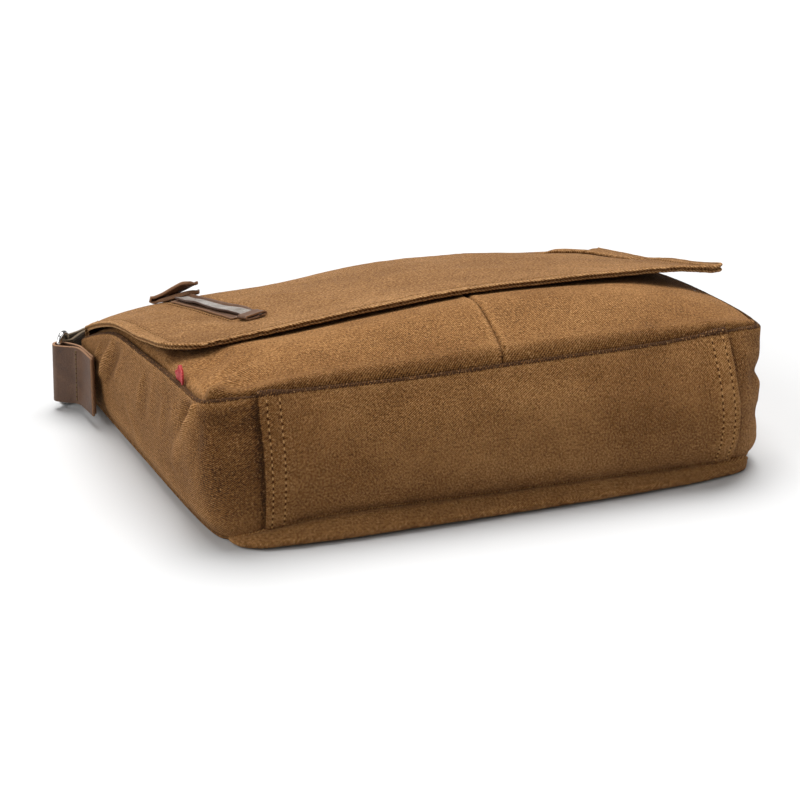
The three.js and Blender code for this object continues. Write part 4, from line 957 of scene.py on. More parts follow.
P = P + o3 * (bulge * (0.9 * perlin(S / 17, Rr / 9, 41.0) + 0.6 * perlin(S / 7, Rr / 7, 43.0)))[..., None]
keep = int((ss < 270).sum())
idx = np.arange(nr * m).reshape(nr, m)
pts = [P.reshape(-1, 3)]
quads = [np.stack([idx[:-1, :-1], idx[1:, :-1], idx[1:, 1:], idx[:-1, 1:]], -1).reshape(-1, 4)]
last = idx[-1]
flatP = P[-1]
row = last[keep:m - keep]
rowP = flatP[keep:m - keep]
u = (rowP[:, 0] - rowP[0, 0]) / (rowP[-1, 0] - rowP[0, 0])
count = nr * m
previous = row
for r in range(keep - 1, -1, -1):
    a, b = flatP[r], flatP[m - 1 - r]
    cur = np.arange(count, count + len(row) - 2)
    mid = a[None] * (1 - u[1:-1, None]) + b[None] * u[1:-1, None]
    pts.append(mid)
    count += len(mid)
    now = np.r_[last[r], cur, last[m - 1 - r]]
    quads.append(np.stack([previous[:-1], previous[1:], now[1:], now[:-1]], -1)[:, ::-1])
    previous = now
V = np.concatenate(pts)
F = np.concatenate(quads)
N = np.zeros_like(V)
c = np.cross(V[F[:, 2]] - V[F[:, 0]], V[F[:, 3]] - V[F[:, 1]])
for k in range(4):
    np.add.at(N, F[:, k], c)
N = unit(N)
if N[-1, 2] > 0:
    N, F = -N, F[:, ::-1]
lift = 0.25 * np.clip(perlin(V[:, 0] / 30, V[:, 1] / 30, 51.0), 0, 1) * smooth((150 - np.abs(V[:, 0])) / 30)
V = V + np.array([0, 0, 1.0]) * lift[:, None]
outer, inner = V + N * CLOTH / 2, V - N * CLOTH / 2
n = len(V)
e = {}
edges = np.concatenate([F[:, [k, (k + 1) % 4]] for k in range(4)])
seen = set(map(tuple, edges))
rim = np.array([(a, b) for a, b in seen if (b, a) not in seen])
FF = np.concatenate([F, F[:, ::-1] + n, np.c_[rim[:, 0], rim[:, 0] + n, rim[:, 1] + n, rim[:, 1]]])
clo = np.c_[V[:, 0], V[:, 1] + V[:, 2], 0 * V[:, 0]] * 0.001
tone_and_shade = np.zeros(n)
# painted highlight: lighter along the top of the roll by the seam and on the bulging roll; none on the inner face
tone_and_shade[:nr * m] = (0.5 * np.exp(-(Rr - 5) ** 2 / 9.0) + 0.25 * bulge).ravel()
mesh("back_panel_cloth", np.concatenate([outer, inner]), FF, "canvas", {"cloth": np.r_[clo, clo], "tone_and_shade": np.r_[tone_and_shade, tone_and_shade * 0]}, replaces=("back_panel",), slot="canvas")

# ---------------------------------------------------------------- front panels
def front_panel(sign):
    name = "front_panel_left" if sign < 0 else "front_panel_right"
    depth = 258.0
    vs = spaced(0, depth, 6.5, fine=[(0, 5, 0.8), (5, 108, 1.7)]) / depth
    width = 192.0
    fine = [(0, 5, 0.8), (width - 5, width, 0.8)]
    hs = spaced(0, width, 1.9, fine=fine) / width
    Hq, Vq = np.meshgrid(hs, vs)
    c = centre_seam(vs)[:, None]
    cut = 0.25 / 380
    U = Hq * (c - cut) if sign < 0 else mix(c + cut, 1, Hq)
    P = front_point(U, Vq)
    # edges turned down into the seams
    dl = (Hq if sign < 0 else 1 - Hq) * width
    dc = (1 - Hq if sign < 0 else Hq) * width
    db = Vq * depth
    drop = 2.6 * (1 - np.clip(dl / 4.5, 0, 1)) ** 2 + 3.0 * (1 - np.clip(db / 5.0, 0, 1)) ** 2 + 2.3 * (1 - np.clip(dc / 2.4, 0, 1)) ** 2
    puff = 1.6 * np.exp(-((db - 7) / 5.5) ** 2) + 0.35 * np.exp(-((dc - 4) / 3) ** 2) + 0.5 * np.exp(-((dl - 6) / 4.5) ** 2)
    pucker = 0.4 * np.exp(-((db - 5) / 6) ** 2) * perlin(P[..., 0] / 6.5, db / 15, 85.0) + 0.25 * np.exp(-(dc / 6) ** 2) * perlin(P[..., 1] / 5, dc / 15, 87.0)
    if sign < 0:
        fx, fy = P[..., 0], P[..., 1]
        line = np.array([(-187, -128), (-182, -129), (-170, -121.5), (-159.5, -113.5), (-148, -106), (-140, -101.5)], float)
        best, where, side = np.full(fx.shape, 1e9), np.zeros(fx.shape), np.zeros(fx.shape)
        for j in range(len(line) - 1):
            e1, e2 = line[j], line[j + 1] - line[j]
            tt = np.clip(((fx - e1[0]) * e2[0] + (fy - e1[1]) * e2[1]) / (e2 ** 2).sum(), 0, 1)
            dx, dy = fx - e1[0] - e2[0] * tt, fy - e1[1] - e2[1] * tt
            dd = np.hypot(dx, dy)
            near = dd < best
            best, where = np.where(near, dd, best), np.where(near, (j + tt) / (len(line) - 1), where)
            side = np.where(near, np.sign(e2[0] * dy - e2[1] * dx), side)
        fade = smooth(where / 0.12) * smooth((1 - where) / 0.4)
        pucker = pucker + fade * np.where(side > 0, 3.9 * np.exp(-(best / 2.6) ** 2) - 2.4 * np.exp(-((best - 7) / 5.0) ** 2), 3.9 * np.exp(-(best / 6.5) ** 2) - 1.2 * np.exp(-((best - 14) / 6.0) ** 2))
        # short crease near the side seam, under the flap's edge
        pucker = pucker + folds([(-182, -34, -187, -50, 1.5, 3.2), (-176, -40, -181, -58, -1.0, 4)], fx, fy)
    if sign > 0:
        pucker = pucker - 0.8 * np.exp(-((P[..., 0] - 22) / 7) ** 2 - ((P[..., 1] + 131) / 5) ** 2)
    low = np.interp(P[..., 0], (-190, -170, -150, -112, 8, 117, 160, 186), (1.3, 1.2, 1.2, 2.0, 2.4, 2.4, 1.5, 0.4))
    low_side = np.interp(P[..., 1], (-138, -98, -45, 15, 130), (2.7, 2.7, 2.3, 0.9, 0) if sign < 0 else (0.5, 0.8, 0.6, 0.3, 0))
    drop = drop + np.maximum(low * (1 - np.clip(db / 9, 0, 1)) ** 1.6, low_side * (1 - np.clip(dl / 8, 0, 1)) ** 1.6)
    P[..., 2] += puff + pucker - drop
    # painted light on the front panels: a dark line of painted shade in the centre seam's groove with a painted
    # highlight beside it, a painted highlight along the puffed side edge, rumple crests lighter and hollows darker, and
    # painted shade in the valley above the bottom seam
    tone_and_shade = 0.5 * np.exp(-((dc - 3.2) / 1.8) ** 2) - 1.4 * np.exp(-(dc / 1.1) ** 2) + 0.25 * np.exp(-((dl - 3) / 3) ** 2) + 0.3 * np.clip(rumple(P[..., 0], P[..., 1], 14.0), -1, 1.3)
    tone_and_shade = tone_and_shade - 0.5 * np.exp(-(db / 4.0) ** 2)
    if (normals(P)[..., 2]).mean() < 0:
        P, tone_and_shade, U, Vq = P[:, ::-1], tone_and_shade[:, ::-1], U[:, ::-1], Vq[:, ::-1]
    V, F, src, top = shell(P, CLOTH)
    cloth = np.stack([U * 380, Vq * depth, 0 * U], -1).reshape(-1, 3) * 0.001
    return mesh(name + "_cloth", V, F, "canvas", {"cloth": cloth[src], "tone_and_shade": tone_and_shade.ravel()[src]}, replaces=(name,), slot="canvas")


front_l, front_r = front_panel(-1), front_panel(1)

# ---------------------------------------------------------------- flap
RIM = [(0.35, 1.78), (0.95, 1.9), (1.55, 1.62), (1.8, 1.15), (1.55, 0.65), (0.95, 0.25), (0.25, 0.0), (0.85, -0.25), (1.4, -0.7), (1.5, -1.2), (1.15, -1.68), (0.45, -1.78)]
RIM_OUT = 1.6
W_FLAP = 384.0
us = spaced(0, W_FLAP, 2.15, fine=[(0, 14, 0.85), (W_FLAP - 14, W_FLAP, 0.85)], lips=(0, 0)) / W_FLAP
yy = (FLAP_EDGE_Y + RIM_OUT) + spaced(0, CREST_Y - FLAP_EDGE_Y - RIM_OUT, 2.0, fine=[(0, 15, 0.85)], lips=(0, 0))
wrap = np.linspace(0, 1, 34)[:-1]
rows = []
half = FLAP_CLOTH / 2


def crest(x):
    return along(FLAP, "x", np.clip(x, -190, 194), "cy")


tones, cl = [], []
run = 0.0
for w in wrap:
    k = w * 0.1 if w < 0.8 else mix(0.08, 1, float(smooth((w - 0.8) / 0.2)))
    x = mix(mix(-180.5, -182.5, w) + RIM_OUT, mix(181, 193, k) - RIM_OUT, us)
    cy = crest(x)
    zc = flap_top(x, cy) - half
    yc = along(FLAP, "x", x, "yc") - half
    zm = zc * 0.5
    a = w * math.pi
    yo = np.maximum(yc, BACK_END_Y + 1.2)
    if a <= math.pi / 2:
        p = xyz(x, mix(BACK_END_Y + 3 * GAP, yo, math.sin(a)), mix(half, zm, 1 - math.cos(a)))
    else:
        p = xyz(x, mix(cy, yo, math.sin(a)), mix(zm, zc, -math.cos(a)))
    rows.append(p)
for y in yy[::-1]:
    a, b = flap_side(np.array(y - RIM_OUT), -1) + RIM_OUT, flap_side(np.array(y - RIM_OUT), 1) - RIM_OUT
    x = mix(a, b, us)
    q = y - (CREST_Y - crest(x)) * smooth((y - 60) / (CREST_Y - 60))
    rows.append(xyz(x, q, flap_top(x, q) - half))
P = np.stack(rows)
nw = len(wrap)
N = normals(P)
if N[-10, 50, 2] < 0:
    N = -N
arcv = np.concatenate([[0], np.cumsum(np.linalg.norm(np.diff(P[:, P.shape[1] // 2], axis=0), axis=1))])
X, Y = P[..., 0], P[..., 1]
turnin = smooth((np.arange(P.shape[0])[:, None] - 2) / 12.0) * np.ones_like(X)
D = flap_rumple(X, Y) * np.where(np.arange(P.shape[0])[:, None] >= nw, 1, 0)
Dw = 0.75 * rumple(X, CREST_Y + (arcv[nw] - arcv[:, None]), 3.0) * turnin
blend = smooth((np.arange(P.shape[0])[:, None] - nw + 1) / 10.0)
D = np.where(np.arange(P.shape[0])[:, None] >= nw, mix(Dw, D, blend), Dw)
dE = np.minimum((us * W_FLAP)[None] * np.ones_like(X), ((1 - us) * W_FLAP)[None] * np.ones_like(X))
dB = (Y - FLAP_EDGE_Y) * (np.arange(P.shape[0])[:, None] >= nw) + 400 * (np.arange(P.shape[0])[:, None] < nw)
d = np.minimum(dE, np.maximum(dB, 0))
# corners: distance to the rounded edge
for r, sx in ((FLAP_CORNER_L, -1), (FLAP_CORNER_R, 1)):
    cx = (-190 + r) if sx < 0 else (196 - r)
    cyy = FLAP_EDGE_Y + r
    inside = ((X - cx) * sx > 0) & (Y < cyy) & (dB < 300)
    d = np.where(inside, np.minimum(d, r - np.hypot(X - cx, Y - cyy)), d)
runs = np.where(dB < dE, X, Y)
INROW = 9.0
D = D - 0.3 * np.exp(-((d - INROW) / 1.1) ** 2) + 0.3 * np.exp(-((d - INROW) / 5) ** 2) * perlin(runs / 4.8, d / 12, 21.0)
D = D + 0.12 * np.exp(-(d / 4) ** 2) * perlin(runs / 6.0, d / 12, 25.0) + 0.35 * np.exp(-((d - 3.5) / 2.6) ** 2)
D = D + flap_droop(X, Y) * (np.arange(P.shape[0])[:, None] >= nw)
# the slanting pocket mouth: the cloth falls away on its near side
line = smooth_path(np.c_[np.array(SLIT, float), np.zeros(len(SLIT))], 6)[0][:, :2]
dist = np.full(X.shape, 1e9)
for q in line[::2]:
    dist = np.minimum(dist, np.hypot(X - q[0], Y - q[1]))
D = D - 0.8 * np.exp(-(dist / 5.0) ** 2) * (np.arange(P.shape[0])[:, None] >= nw)
P = P + N * D[..., None]
N = normals(P)
if N[-10, 50, 2] < 0:
    N = -N
nv, nu = P.shape[:2]
topF, botF = P + N * half, P - N * half
idx = np.arange(nv * nu).reshape(nv, nu)
path = np.concatenate([idx[:, 0], idx[-1, 1:], idx[::-1, -1][1:]])
pp = P.reshape(-1, 3)[path]
pn = N.reshape(-1, 3)[path]
pt = unit(np.gradient(pp, axis=0))
po = unit(np.cross(pt, pn))
mid_in = P.reshape(-1, 3)[np.concatenate([idx[:, 3], idx[-4, 1:], idx[::-1, -4][1:]])]
po = po * np.sign(((pp - mid_in) * po).sum(1))[:, None]
arcp = np.r_[0, np.cumsum(np.linalg.norm(np.diff(pp, axis=0), axis=1))]
wob = 1 + 0.14 * perlin(arcp / 1.9, 0.0, 91.0) + 0.06 * perlin(arcp / 9.0, 0.0, 93.0)
bob = 0.12 * perlin(arcp / 2.1, 0.0, 95.0)
# thicker where the layers of the right corner meet
thick_ = 1 + 0.5 * np.exp(-(np.hypot(pp[:, 0] - 192, pp[:, 1] - FLAP_EDGE_Y - 4) / 17) ** 2)
wob, bob = wob * thick_ ** 0.5, bob * thick_
rimV, rimI = [], []
base = 2 * nv * nu
for j, (o, z) in enumerate(RIM):
    rimV.append(pp + po * (o * wob)[:, None] + pn * (z * thick_ + bob * (1 if z > 0.3 else -1 if z < -0.3 else 0) * (abs(z) < 1.7 or o > 0.6))[:, None])
    rimI.append(base + j * len(path) + np.arange(len(path)))
rings = [path] + rimI + [path + nv * nu]
quad = lambda I: np.stack([I[:-1, :-1], I[:-1, 1:], I[1:, 1:], I[1:, :-1]], -1).reshape(-1, 4)
faces = [quad(idx), quad(idx + nv * nu)[:, ::-1]]
R = np.stack(rings)
rq = quad(R)
faces.append(rq)
first = np.stack([idx[0, :-1], idx[0, 1:], idx[0, 1:] + nv * nu, idx[0, :-1] + nv * nu], -1)
faces.append(first)
caps = [R[:, 0][None], R[::-1, -1][None]]
V = np.concatenate([topF.reshape(-1, 3), botF.reshape(-1, 3)] + rimV)
Fq = np.concatenate(faces)
# lighter band just inside the edge; painted shade along the groove of the inner stitch row; folds and rumples lighter
# on crests and darker in hollows as painted highlight and painted shade
tone_and_shade = 0.55 * np.exp(-((d - 2.2) / 2.6) ** 2) - 0.3 * np.exp(-((d - INROW) / 1.4) ** 2) + 0.3 * np.clip(D, -1.2, 1.4)
cloth = np.stack([X, np.broadcast_to(arcv[:, None], X.shape), 0 * X], -1).reshape(-1, 3) * 0.001
# painted light on the rim: the two rolls lighter as painted highlights, the groove between them dark as painted shade
rim_painted_light = np.concatenate([np.full(len(path), (0.9, 1.2, 1.1, 0.8, 0.2, -0.8, -1.5, -0.6, 0.9, 1.6, 1.3, 0.5)[j]) for j in range(len(RIM))])
rimcloth = np.concatenate([np.c_[arcp, np.full(len(path), j * 0.45), 0 * arcp] * 0.001 for j in range(len(RIM))])
ob = mesh("flap_cloth", V, [Fq] + caps, "canvas_flap", {"cloth": np.concatenate([cloth, cloth, rimcloth]), "tone_and_shade": np.concatenate([tone_and_shade.ravel(), 0 * tone_and_shade.ravel(), rim_painted_light])}, replaces=("flap",), slot="canvas")
flap_obj = ob
# normals of the mesh made to agree, whatever order the rim was built in
import bmesh
bm = bmesh.new()
bm.from_mesh(ob.data)
bmesh.ops.recalc_face_normals(bm, faces=bm.faces)
bm.to_mesh(ob.data)
bm.free()

# rows of stitching on the flap: one inside the edge and one in the groove of the rim
rowsF = []
inset_i = int(np.searchsorted(us * W_FLAP, INROW))
jj = int(np.searchsorted(yy - FLAP_EDGE_Y, INROW))
left_line = topF[nw + 2: nv - jj, inset_i]
leftN = N[nw + 2: nv - jj, inset_i]
right_line = topF[nw + 2: nv - jj, nu - 1 - inset_i]
rightN = N[nw + 2: nv - jj, nu - 1 - inset_i]
# follow the rounded corners at an even distance
def flap_curve(dist_in, sx, n=40):
    r = FLAP_CORNER_L if sx < 0 else FLAP_CORNER_R
    cx = (-190 + r) if sx < 0 else (196 - r)
    cy = FLAP_EDGE_Y + r
    rr = max(r - dist_in, 0.6)
    a = np.linspace(math.pi, 1.5 * math.pi, n) if sx < 0 else np.linspace(1.5 * math.pi, 2 * math.pi, n)
    return np.c_[cx + rr * np.cos(a), cy + rr * np.sin(a)]


def flap_line(dist_in):
    ys = np.linspace(138, FLAP_EDGE_Y + FLAP_CORNER_L, 120)
    L = np.c_[flap_side(ys, -1) + dist_in, ys]
    R = np.c_[flap_side(ys[::-1], 1) - dist_in, ys[::-1]]
    xs = np.linspace(-190 + FLAP_CORNER_L, 196 - FLAP_CORNER_R, 200)
    Bt = np.c_[xs, np.full(200, FLAP_EDGE_Y + dist_in)]
    return np.concatenate([L, flap_curve(dist_in, -1)[1:-1], Bt, flap_curve(dist_in, 1)[1:-1], R[R[:, 1] > FLAP_EDGE_Y + FLAP_CORNER_R]])


def drop_on(grid, nrm, xy):
    """Points of the fine flap above the plan points xy."""
    g = grid[nw:].reshape(-1, 3)
    gn = nrm[nw:].reshape(-1, 3)
    out, on = [], []
    for q in xy:
        dd = (g[:, 0] - q[0]) ** 2 + (g[:, 1] - q[1]) ** 2
        k = np.argpartition(dd, 4)[:4]
        w = 1 / (dd[k] + 0.05)
        w /= w.sum()
        zc = (g[k, 2] * w).sum()
        nn = (gn[k] * w[:, None]).sum(0)
        # slope correction to the exact plan point
        cx, cy = (g[k, 0] * w).sum(), (g[k, 1] * w).sum()
        zc += -(nn[0] * (q[0] - cx) + nn[1] * (q[1] - cy)) / max(nn[2], 0.2)
        out.append((q[0], q[1], zc))
        on.append(nn)
    return np.array(out), unit(np.array(on))


line_in = flap_line(INROW)
pts_in, nrm_in = drop_on(topF, N, line_in)
stitches("flap_stitches", [(pts_in, nrm_in)], "thread_mid", pitch=4.0, length=2.4, radius=0.4, lift=0.2)
holes("flap_holes", [(pts_in, nrm_in)], "needle_hole_shade", pitch=4.0, radius=0.8, lift=0.18)
# stitches that hold the two layers, in the groove of the rim
sel = slice(12, len(path) - 12)
stitches("rim_stitches", [((pp + po * 0.5)[sel], po[sel])], "thread_mid", pitch=3.0, length=2.0, radius=0.38, lift=0.16)

# pocket mouth on the flap: the far side stands up as a soft lip
L2 = smooth_path(np.c_[np.array(SLIT, float), np.zeros(len(SLIT))], 14)[0][:, :2]
T2 = unit(np.gradient(L2, axis=0))
side2 = np.c_[-T2[:, 1], T2[:, 0]]
side2 = side2 * np.sign((side2 * (0.83, 0.56)).sum(1))[:, None]
tt = np.linspace(0, 1, len(L2))
rise = smooth(tt / 0.16) * smooth((1 - tt) / 0.07)
lipv = spaced(0, 26, 1.4)
G = []
for a in lipv:
    q = L2 + side2 * (a - 0.5)
    peak = 1.2 * np.exp(-(np.abs(tt - 0.66) / 0.17) ** 1.6) * math.exp(-((a - 10) / 7.5) ** 2)
    hgt = (1.0 + 0.6 * math.exp(-((a - 7) / 8.0) ** 2)) * rise - 0.9 * (1 - rise) + peak - 1.5 * float(smooth((a - 10) / 14))
    bow = -0.7 * math.exp(-((a - 0.2) / 0.8) ** 2)
    G.append(xyz(q[:, 0], q[:, 1], flap_at(q[:, 0], q[:, 1]) + flap_droop(q[:, 0], q[:, 1]) + hgt + bow * rise))
G = np.stack(G)
G[..., 2] += 0.3 * perlin(G[..., 0] / 6, G[..., 1] / 6, 5.0) * smooth(lipv / 6)[:, None]
if normals(G)[..., 2].mean() < 0:
    G = G[:, ::-1]
V, F, src, _ = shell(G, 1.5)
cl = np.stack([G[..., 0], G[..., 1], 0 * G[..., 0]], -1).reshape(-1, 3) * 0.001
tn = (0.6 * np.exp(-((lipv - 1) / 1.6) ** 2))[:, None] * np.ones((1, len(L2)))
pocket = mesh("flap_pocket_lip", V, F, "canvas_flap", {"cloth": cl[src], "tone_and_shade": tn.ravel()[src]}, slot="canvas")

# ---------------------------------------------------------------- leather on the flap
def strip_line(name, y1, y2, n, h, dx=0.0):
    """Middle line of a strip on the flap, the direction of its width, and its width."""
    y = mix(y1, y2, np.linspace(0, 1, n))
    x = along(STRIPS, "y", y, name + "X") + dx
    P = on_flap(x, y, np.zeros(n) + h)
    W = np.tile([1.0, 0, 0], (n, 1))
    W[:, 2] = (flap_top(x + 1, y) - flap_top(x - 1, y)) / 2
    return P, W, 2 * along(STRIPS, "y", y, name), y


nb = 100
P, wdir, wd_, yb = strip_line("base", 4.4, 117, nb, 0.95, 1.0)


def base_bend(a, i):
    far = smooth((a - 0.42) / 0.5)
    return 0.2 * np.exp(-((a + 0.8) / 0.1) ** 2) - 2.3 * far * (0.95 + 0.05 * np.sin(i / 7.0)) * (0.5 + 0.5 * smooth((i - 2) / 12))


strap_base, VB, TB, WB, MB = ribbon("flap_strap_base_leather", P, wdir, wd_ - 0.6, 1.3, "hide", across=40, bend=base_bend, replaces=("flap_strap_base",), slot="dark_leather")
P, wdir, wd_, yb = strip_line("strap", -8.9, 112, nb, 2.9)
P[:, 2] += 0.35 * np.sin(yb / 9.0) * smooth((yb - 8) / 12) - 0.65 * smooth((8 - yb) / 8)
wdir[:, 2] -= 0.14 * smooth((yb - 20) / 30)


def top_bend(a, i):
    return 0.15 - 0.35 * a ** 2 + 0.12 * np.sin(i / 5.0 + a * 2) * smooth((i - 14) / 8)


strap_top, VT, *_ = ribbon("flap_strap_leather", P, wdir, wd_ * 1.1, 1.4, "hide_worn", across=24, cut=0.35, bend=top_bend, replaces=("flap_strap",), slot="worn_leather")

# sewing in the canvas beside the base
ys = np.linspace(0, 136, 80)
xs = along(STRIPS, "y", ys, "baseX") - along(STRIPS, "y", ys, "base") - 0.9
pn_, nn_ = drop_on(topF, N, np.c_[xs, ys])
stitches("strap_stitches", [(pn_, nn_)], "thread_mid", pitch=3.8, length=1.9, radius=0.45, lift=0.34)
holes("strap_holes", [(pn_, nn_)], "needle_hole_shade", pitch=3.8, radius=1.05, lift=0.28)

# keeper: leather bent round the strap, its cut edges to the front and back
K = KEEP
hx, hz, r = (K["width"] - K["wall"]) / 2, (K["high"] - K["low"] - K["wall"]) / 2 - 0.45, 1.05
sec = []
for cx, cz, a0 in ((hx - r, hz - r, 0), (r - hx, hz - r, 90), (r - hx, r - hz, 180), (hx - r, r - hz, 270)):
    for a in np.radians(np.linspace(a0, a0 + 90, 6)):
        sec.append((cx + r * math.cos(a), cz + r * math.sin(a)))
sec = np.array(sec)
sec = np.r_[sec, sec[:1]]
dd = np.r_[0, np.cumsum(np.linalg.norm(np.diff(sec, axis=0), axis=1))]
tt = np.linspace(0, dd[-1], 110, endpoint=False)
sec = np.c_[np.interp(tt, dd, sec[:, 0]), np.interp(tt, dd, sec[:, 1])]
ck, sk = math.cos(math.radians(K["turn"])), math.sin(math.radians(K["turn"]))
mid_h = (K["low"] + K["high"]) / 2 - 0.55
sec[:, 1] *= 1 - 0.3 * (np.abs(sec[:, 0]) / hx) ** 3


Pk = on_flap(K["x"] + sec[:, 0] * ck, K["y"] + sec[:, 0] * sk, mid_h + sec[:, 1] + 0.25 * np.sin(sec[:, 0] / 3.0))
front_y = on_flap(np.array(K["x"] + 4 * sk), np.array(K["y"] - 4 * ck), np.array(mid_h))
back_y = on_flap(np.array(K["x"] - 4 * sk), np.array(K["y"] + 4 * ck), np.array(mid_h))
Wk = np.tile(unit(back_y - front_y), (len(Pk), 1))
ribbon("strap_keeper_leather", Pk, Wk, K["depth"], K["wall"], "hide", across=12, cut=0.25, closed=True, bend=lambda a, i: 0.22 * np.cos(a * 2.2 + 0.4), replaces=("strap_keeper",), slot="dark_leather")

# pull tab: both ends rounded like a leaf
Pp, Wp, Tp = smooth_path(np.c_[PULL["x"], PULL["y"], PULL["z"]], 12, (PULL["width"][:, None], PULL["tilt"][:, None]))
dp = np.r_[0, np.cumsum(np.linalg.norm(np.diff(Pp, axis=0), axis=1))]
to_end = lambda t: np.minimum(t, dp[-1] - t)
tk = np.r_[np.linspace(0, 0.6, 5)[:-1], np.linspace(0.6, 7, 16)[:-1], np.linspace(7, dp[-1] - 7, 110)[:-1], np.linspace(dp[-1] - 7, dp[-1] - 0.6, 16)[:-1], np.linspace(dp[-1] - 0.6, dp[-1], 5)]
f_ = lambda A: np.stack([np.interp(tk, dp, A[:, j]) for j in range(A.shape[1])], 1)
Pp, Wp, Tp = f_(Pp), f_(Wp)[:, 0], f_(Tp)[:, 0]
e_ = np.clip(to_end(tk) / 6.2, 0, 1)
Wp = Wp * np.sqrt(np.clip(1 - (1 - e_) ** 2, 0.015, 1))
wd = np.c_[np.full(len(Pp), 0.85), np.full(len(Pp), 0.38), Tp]
npt = len(Pp)
upper = smooth((tk - dp[-1] * 0.56) / (dp[-1] * 0.14))[:, None]
lower = 1 - smooth((tk - dp[-1] * 0.3) / (dp[-1] * 0.14))[:, None]


def pull_bend(a, i):
    k = i[:, 0] if i.ndim == 2 else i
    return (-0.9 * upper + 0.5 * lower)[k] * (1 - a ** 2)


ribbon("pull_tab_leather", Pp, wd, Wp, LEATHER + 0.3, "hide", across=18, cut=0.6, bend=pull_bend, taper=np.clip(to_end(tk) / 0.7, 0.25, 1) ** 0.5 * (1 + 0.35 * lower[:, 0]), replaces=("pull_tab",), slot="dark_leather")

# ---------------------------------------------------------------- ring tabs, rings, shoulder strap
TAB_IN_X, TAB_START_Y = -193.3, 82.0


def arc(c, r, a0, a1, n):
    a = np.radians(np.linspace(a0, a1, n + 1))
    return [(c[0] + r * math.cos(t), c[1] + r * math.sin(t)) for t in a]


tan_lines, dark_lines = [], []
for sign, side_name in ((1, "left"), (-1, "right")):
    outX, r = TAB_IN_X - LEATHER - GAP, WIRE / 2 + 1.1 + LEATHER / 2
    plan = [(TAB_IN_X, TAB_START_Y + 4), (TAB_IN_X, 96), (TAB_IN_X, 108), (TAB_IN_X - 0.3, 115), (TAB_IN_X - 2.6, 120.3), (TAB_IN_X - 6, 124.6),
            *arc(BAR_A, r, 54, 238, 10), (-202, 117.8), (-198.2, 115), (outX - 0.9, 112.3), (outX, 107.5), (outX, 96), (outX, TAB_START_Y)]
    P = np.array([(sign * x, y, mix(TAB_Z, 28.5, float(smooth((122 - y) / 40)))) for x, y in plan])
    P = smooth_path(P, 5)[0]
    W = np.tile([0, 0, 1.0], (len(P), 1))
    tab, VR, TT, WW, MM = ribbon(f"ring_tab_{side_name}_leather", P, W, TAB_WIDTH, LEATHER, "hide", across=34, cut=0.35, replaces=(f"ring_tab_{side_name}",), slot="dark_leather")
    # the row of sewing where the loop starts
    k_row = [j for j in range(len(P) // 2, len(P)) if P[j, 1] <= 113.4][0]
    for row_at, rows_to in ((k_row, dark_lines),):
        tz = np.linspace(-TAB_WIDTH / 2 + 1.6, TAB_WIDTH / 2 - 1.6, 24)
        side_n = unit(np.array([TT[row_at][1], -TT[row_at][0], 0.0]))
        side_n = side_n * (1 if side_n[0] * sign < 0 else -1)
        ln = P[row_at][None] + side_n[None] * (LEATHER / 2) + np.array([0, 0, 1.0]) * tz[:, None]
        rows_to.append((ln, np.tile(side_n, (len(ln), 1))))
    # ring
    e = np.array([(BAR_B[0] - BAR_A[0]) / RING_SHORT, (BAR_B[1] - BAR_A[1]) / RING_SHORT])
    c = np.array([(BAR_A[0] + BAR_B[0]) / 2, (BAR_A[1] + BAR_B[1]) / 2])
    hx2, hz2, rc = RING_SHORT / 2, RING_LONG / 2, RING_CORNER
    q = []
    for cx, cz, a0 in ((hx2 - rc, hz2 - rc, 0), (rc - hx2, hz2 - rc, 90), (rc - hx2, rc - hz2, 180), (hx2 - rc, rc - hz2, 270)):
        for a in np.radians(np.linspace(a0, a0 + 90, 14)):
            q.append((cx + rc * math.cos(a), cz + rc * math.sin(a)))
    q = np.array(q)
    C = np.c_[sign * (c[0] + e[0] * q[:, 0]), c[1] + e[1] * q[:, 0], RING_Z + q[:, 1]]
    T = unit(np.roll(C, -1, 0) - np.roll(C, 1, 0))
    axis = unit(np.cross(C[0] - C.mean(0), C[14] - C.mean(0)))
    O = unit(np.cross(T, axis))
    k = np.arange(20) * 2 * np.pi / 20
    V = C[:, None] + (O[:, None] * np.cos(k)[None, :, None] + axis[None, None] * np.sin(k)[None, :, None]) * WIRE / 2
    I = np.arange(len(C) * 20).reshape(len(C), 20)
    J = np.roll(I, -1, 1)
    mesh(f"ring_{side_name}_wire", V.reshape(-1, 3), np.stack([I, np.roll(I, -1, 0), np.roll(J, -1, 0), J], -1).reshape(-1, 4), "ring_steel", replaces=(f"ring_{side_name}",), slot="ring_steel")
stitches("tab_stitches", dark_lines, "thread_olive", pitch=3.3, length=2.3, radius=0.36, lift=0.16, slot="dark_leather")
holes("tab_holes", dark_lines, "needle_hole_shade", pitch=3.3, radius=0.6, lift=0.1, slot="dark_leather")

d_, q_ = np.array([0.82, 0.572]), np.array([-0.572, 0.82])
r, lay = WIRE / 2 + 1.1 + WEB_THICK / 2, WEB_THICK / 2 + GAP / 2
at = lambda u, v: (BAR_B[0] + d_[0] * u + q_[0] * v, BAR_B[1] + d_[1] * u + q_[1] * v)
turn = math.degrees(math.atan2(d_[1], d_[0]))
loop = [at(31, -lay), at(22, -lay), at(14, -lay - 0.2), at(8, -lay - 1.3), *arc(BAR_B, r, turn - 70, turn - 290, 11), at(8, lay + 1.3), at(14, lay + 0.2), at(22, lay)]
left = np.array([(x, y, TAB_Z) for x, y in loop])
right = np.array([(-x, y, TAB_Z) for x, y in loop[::-1]])
mid = np.c_[WEB["x"], WEB["y"], WEB["z"]]
dm = np.gradient(mid, axis=0)
lev = np.c_[-dm[:, 1], dm[:, 0], 0 * dm[:, 0]]
lev = unit(lev)
lev = lev * np.where(lev[:, 1] < 0, -1, 1)[:, None]
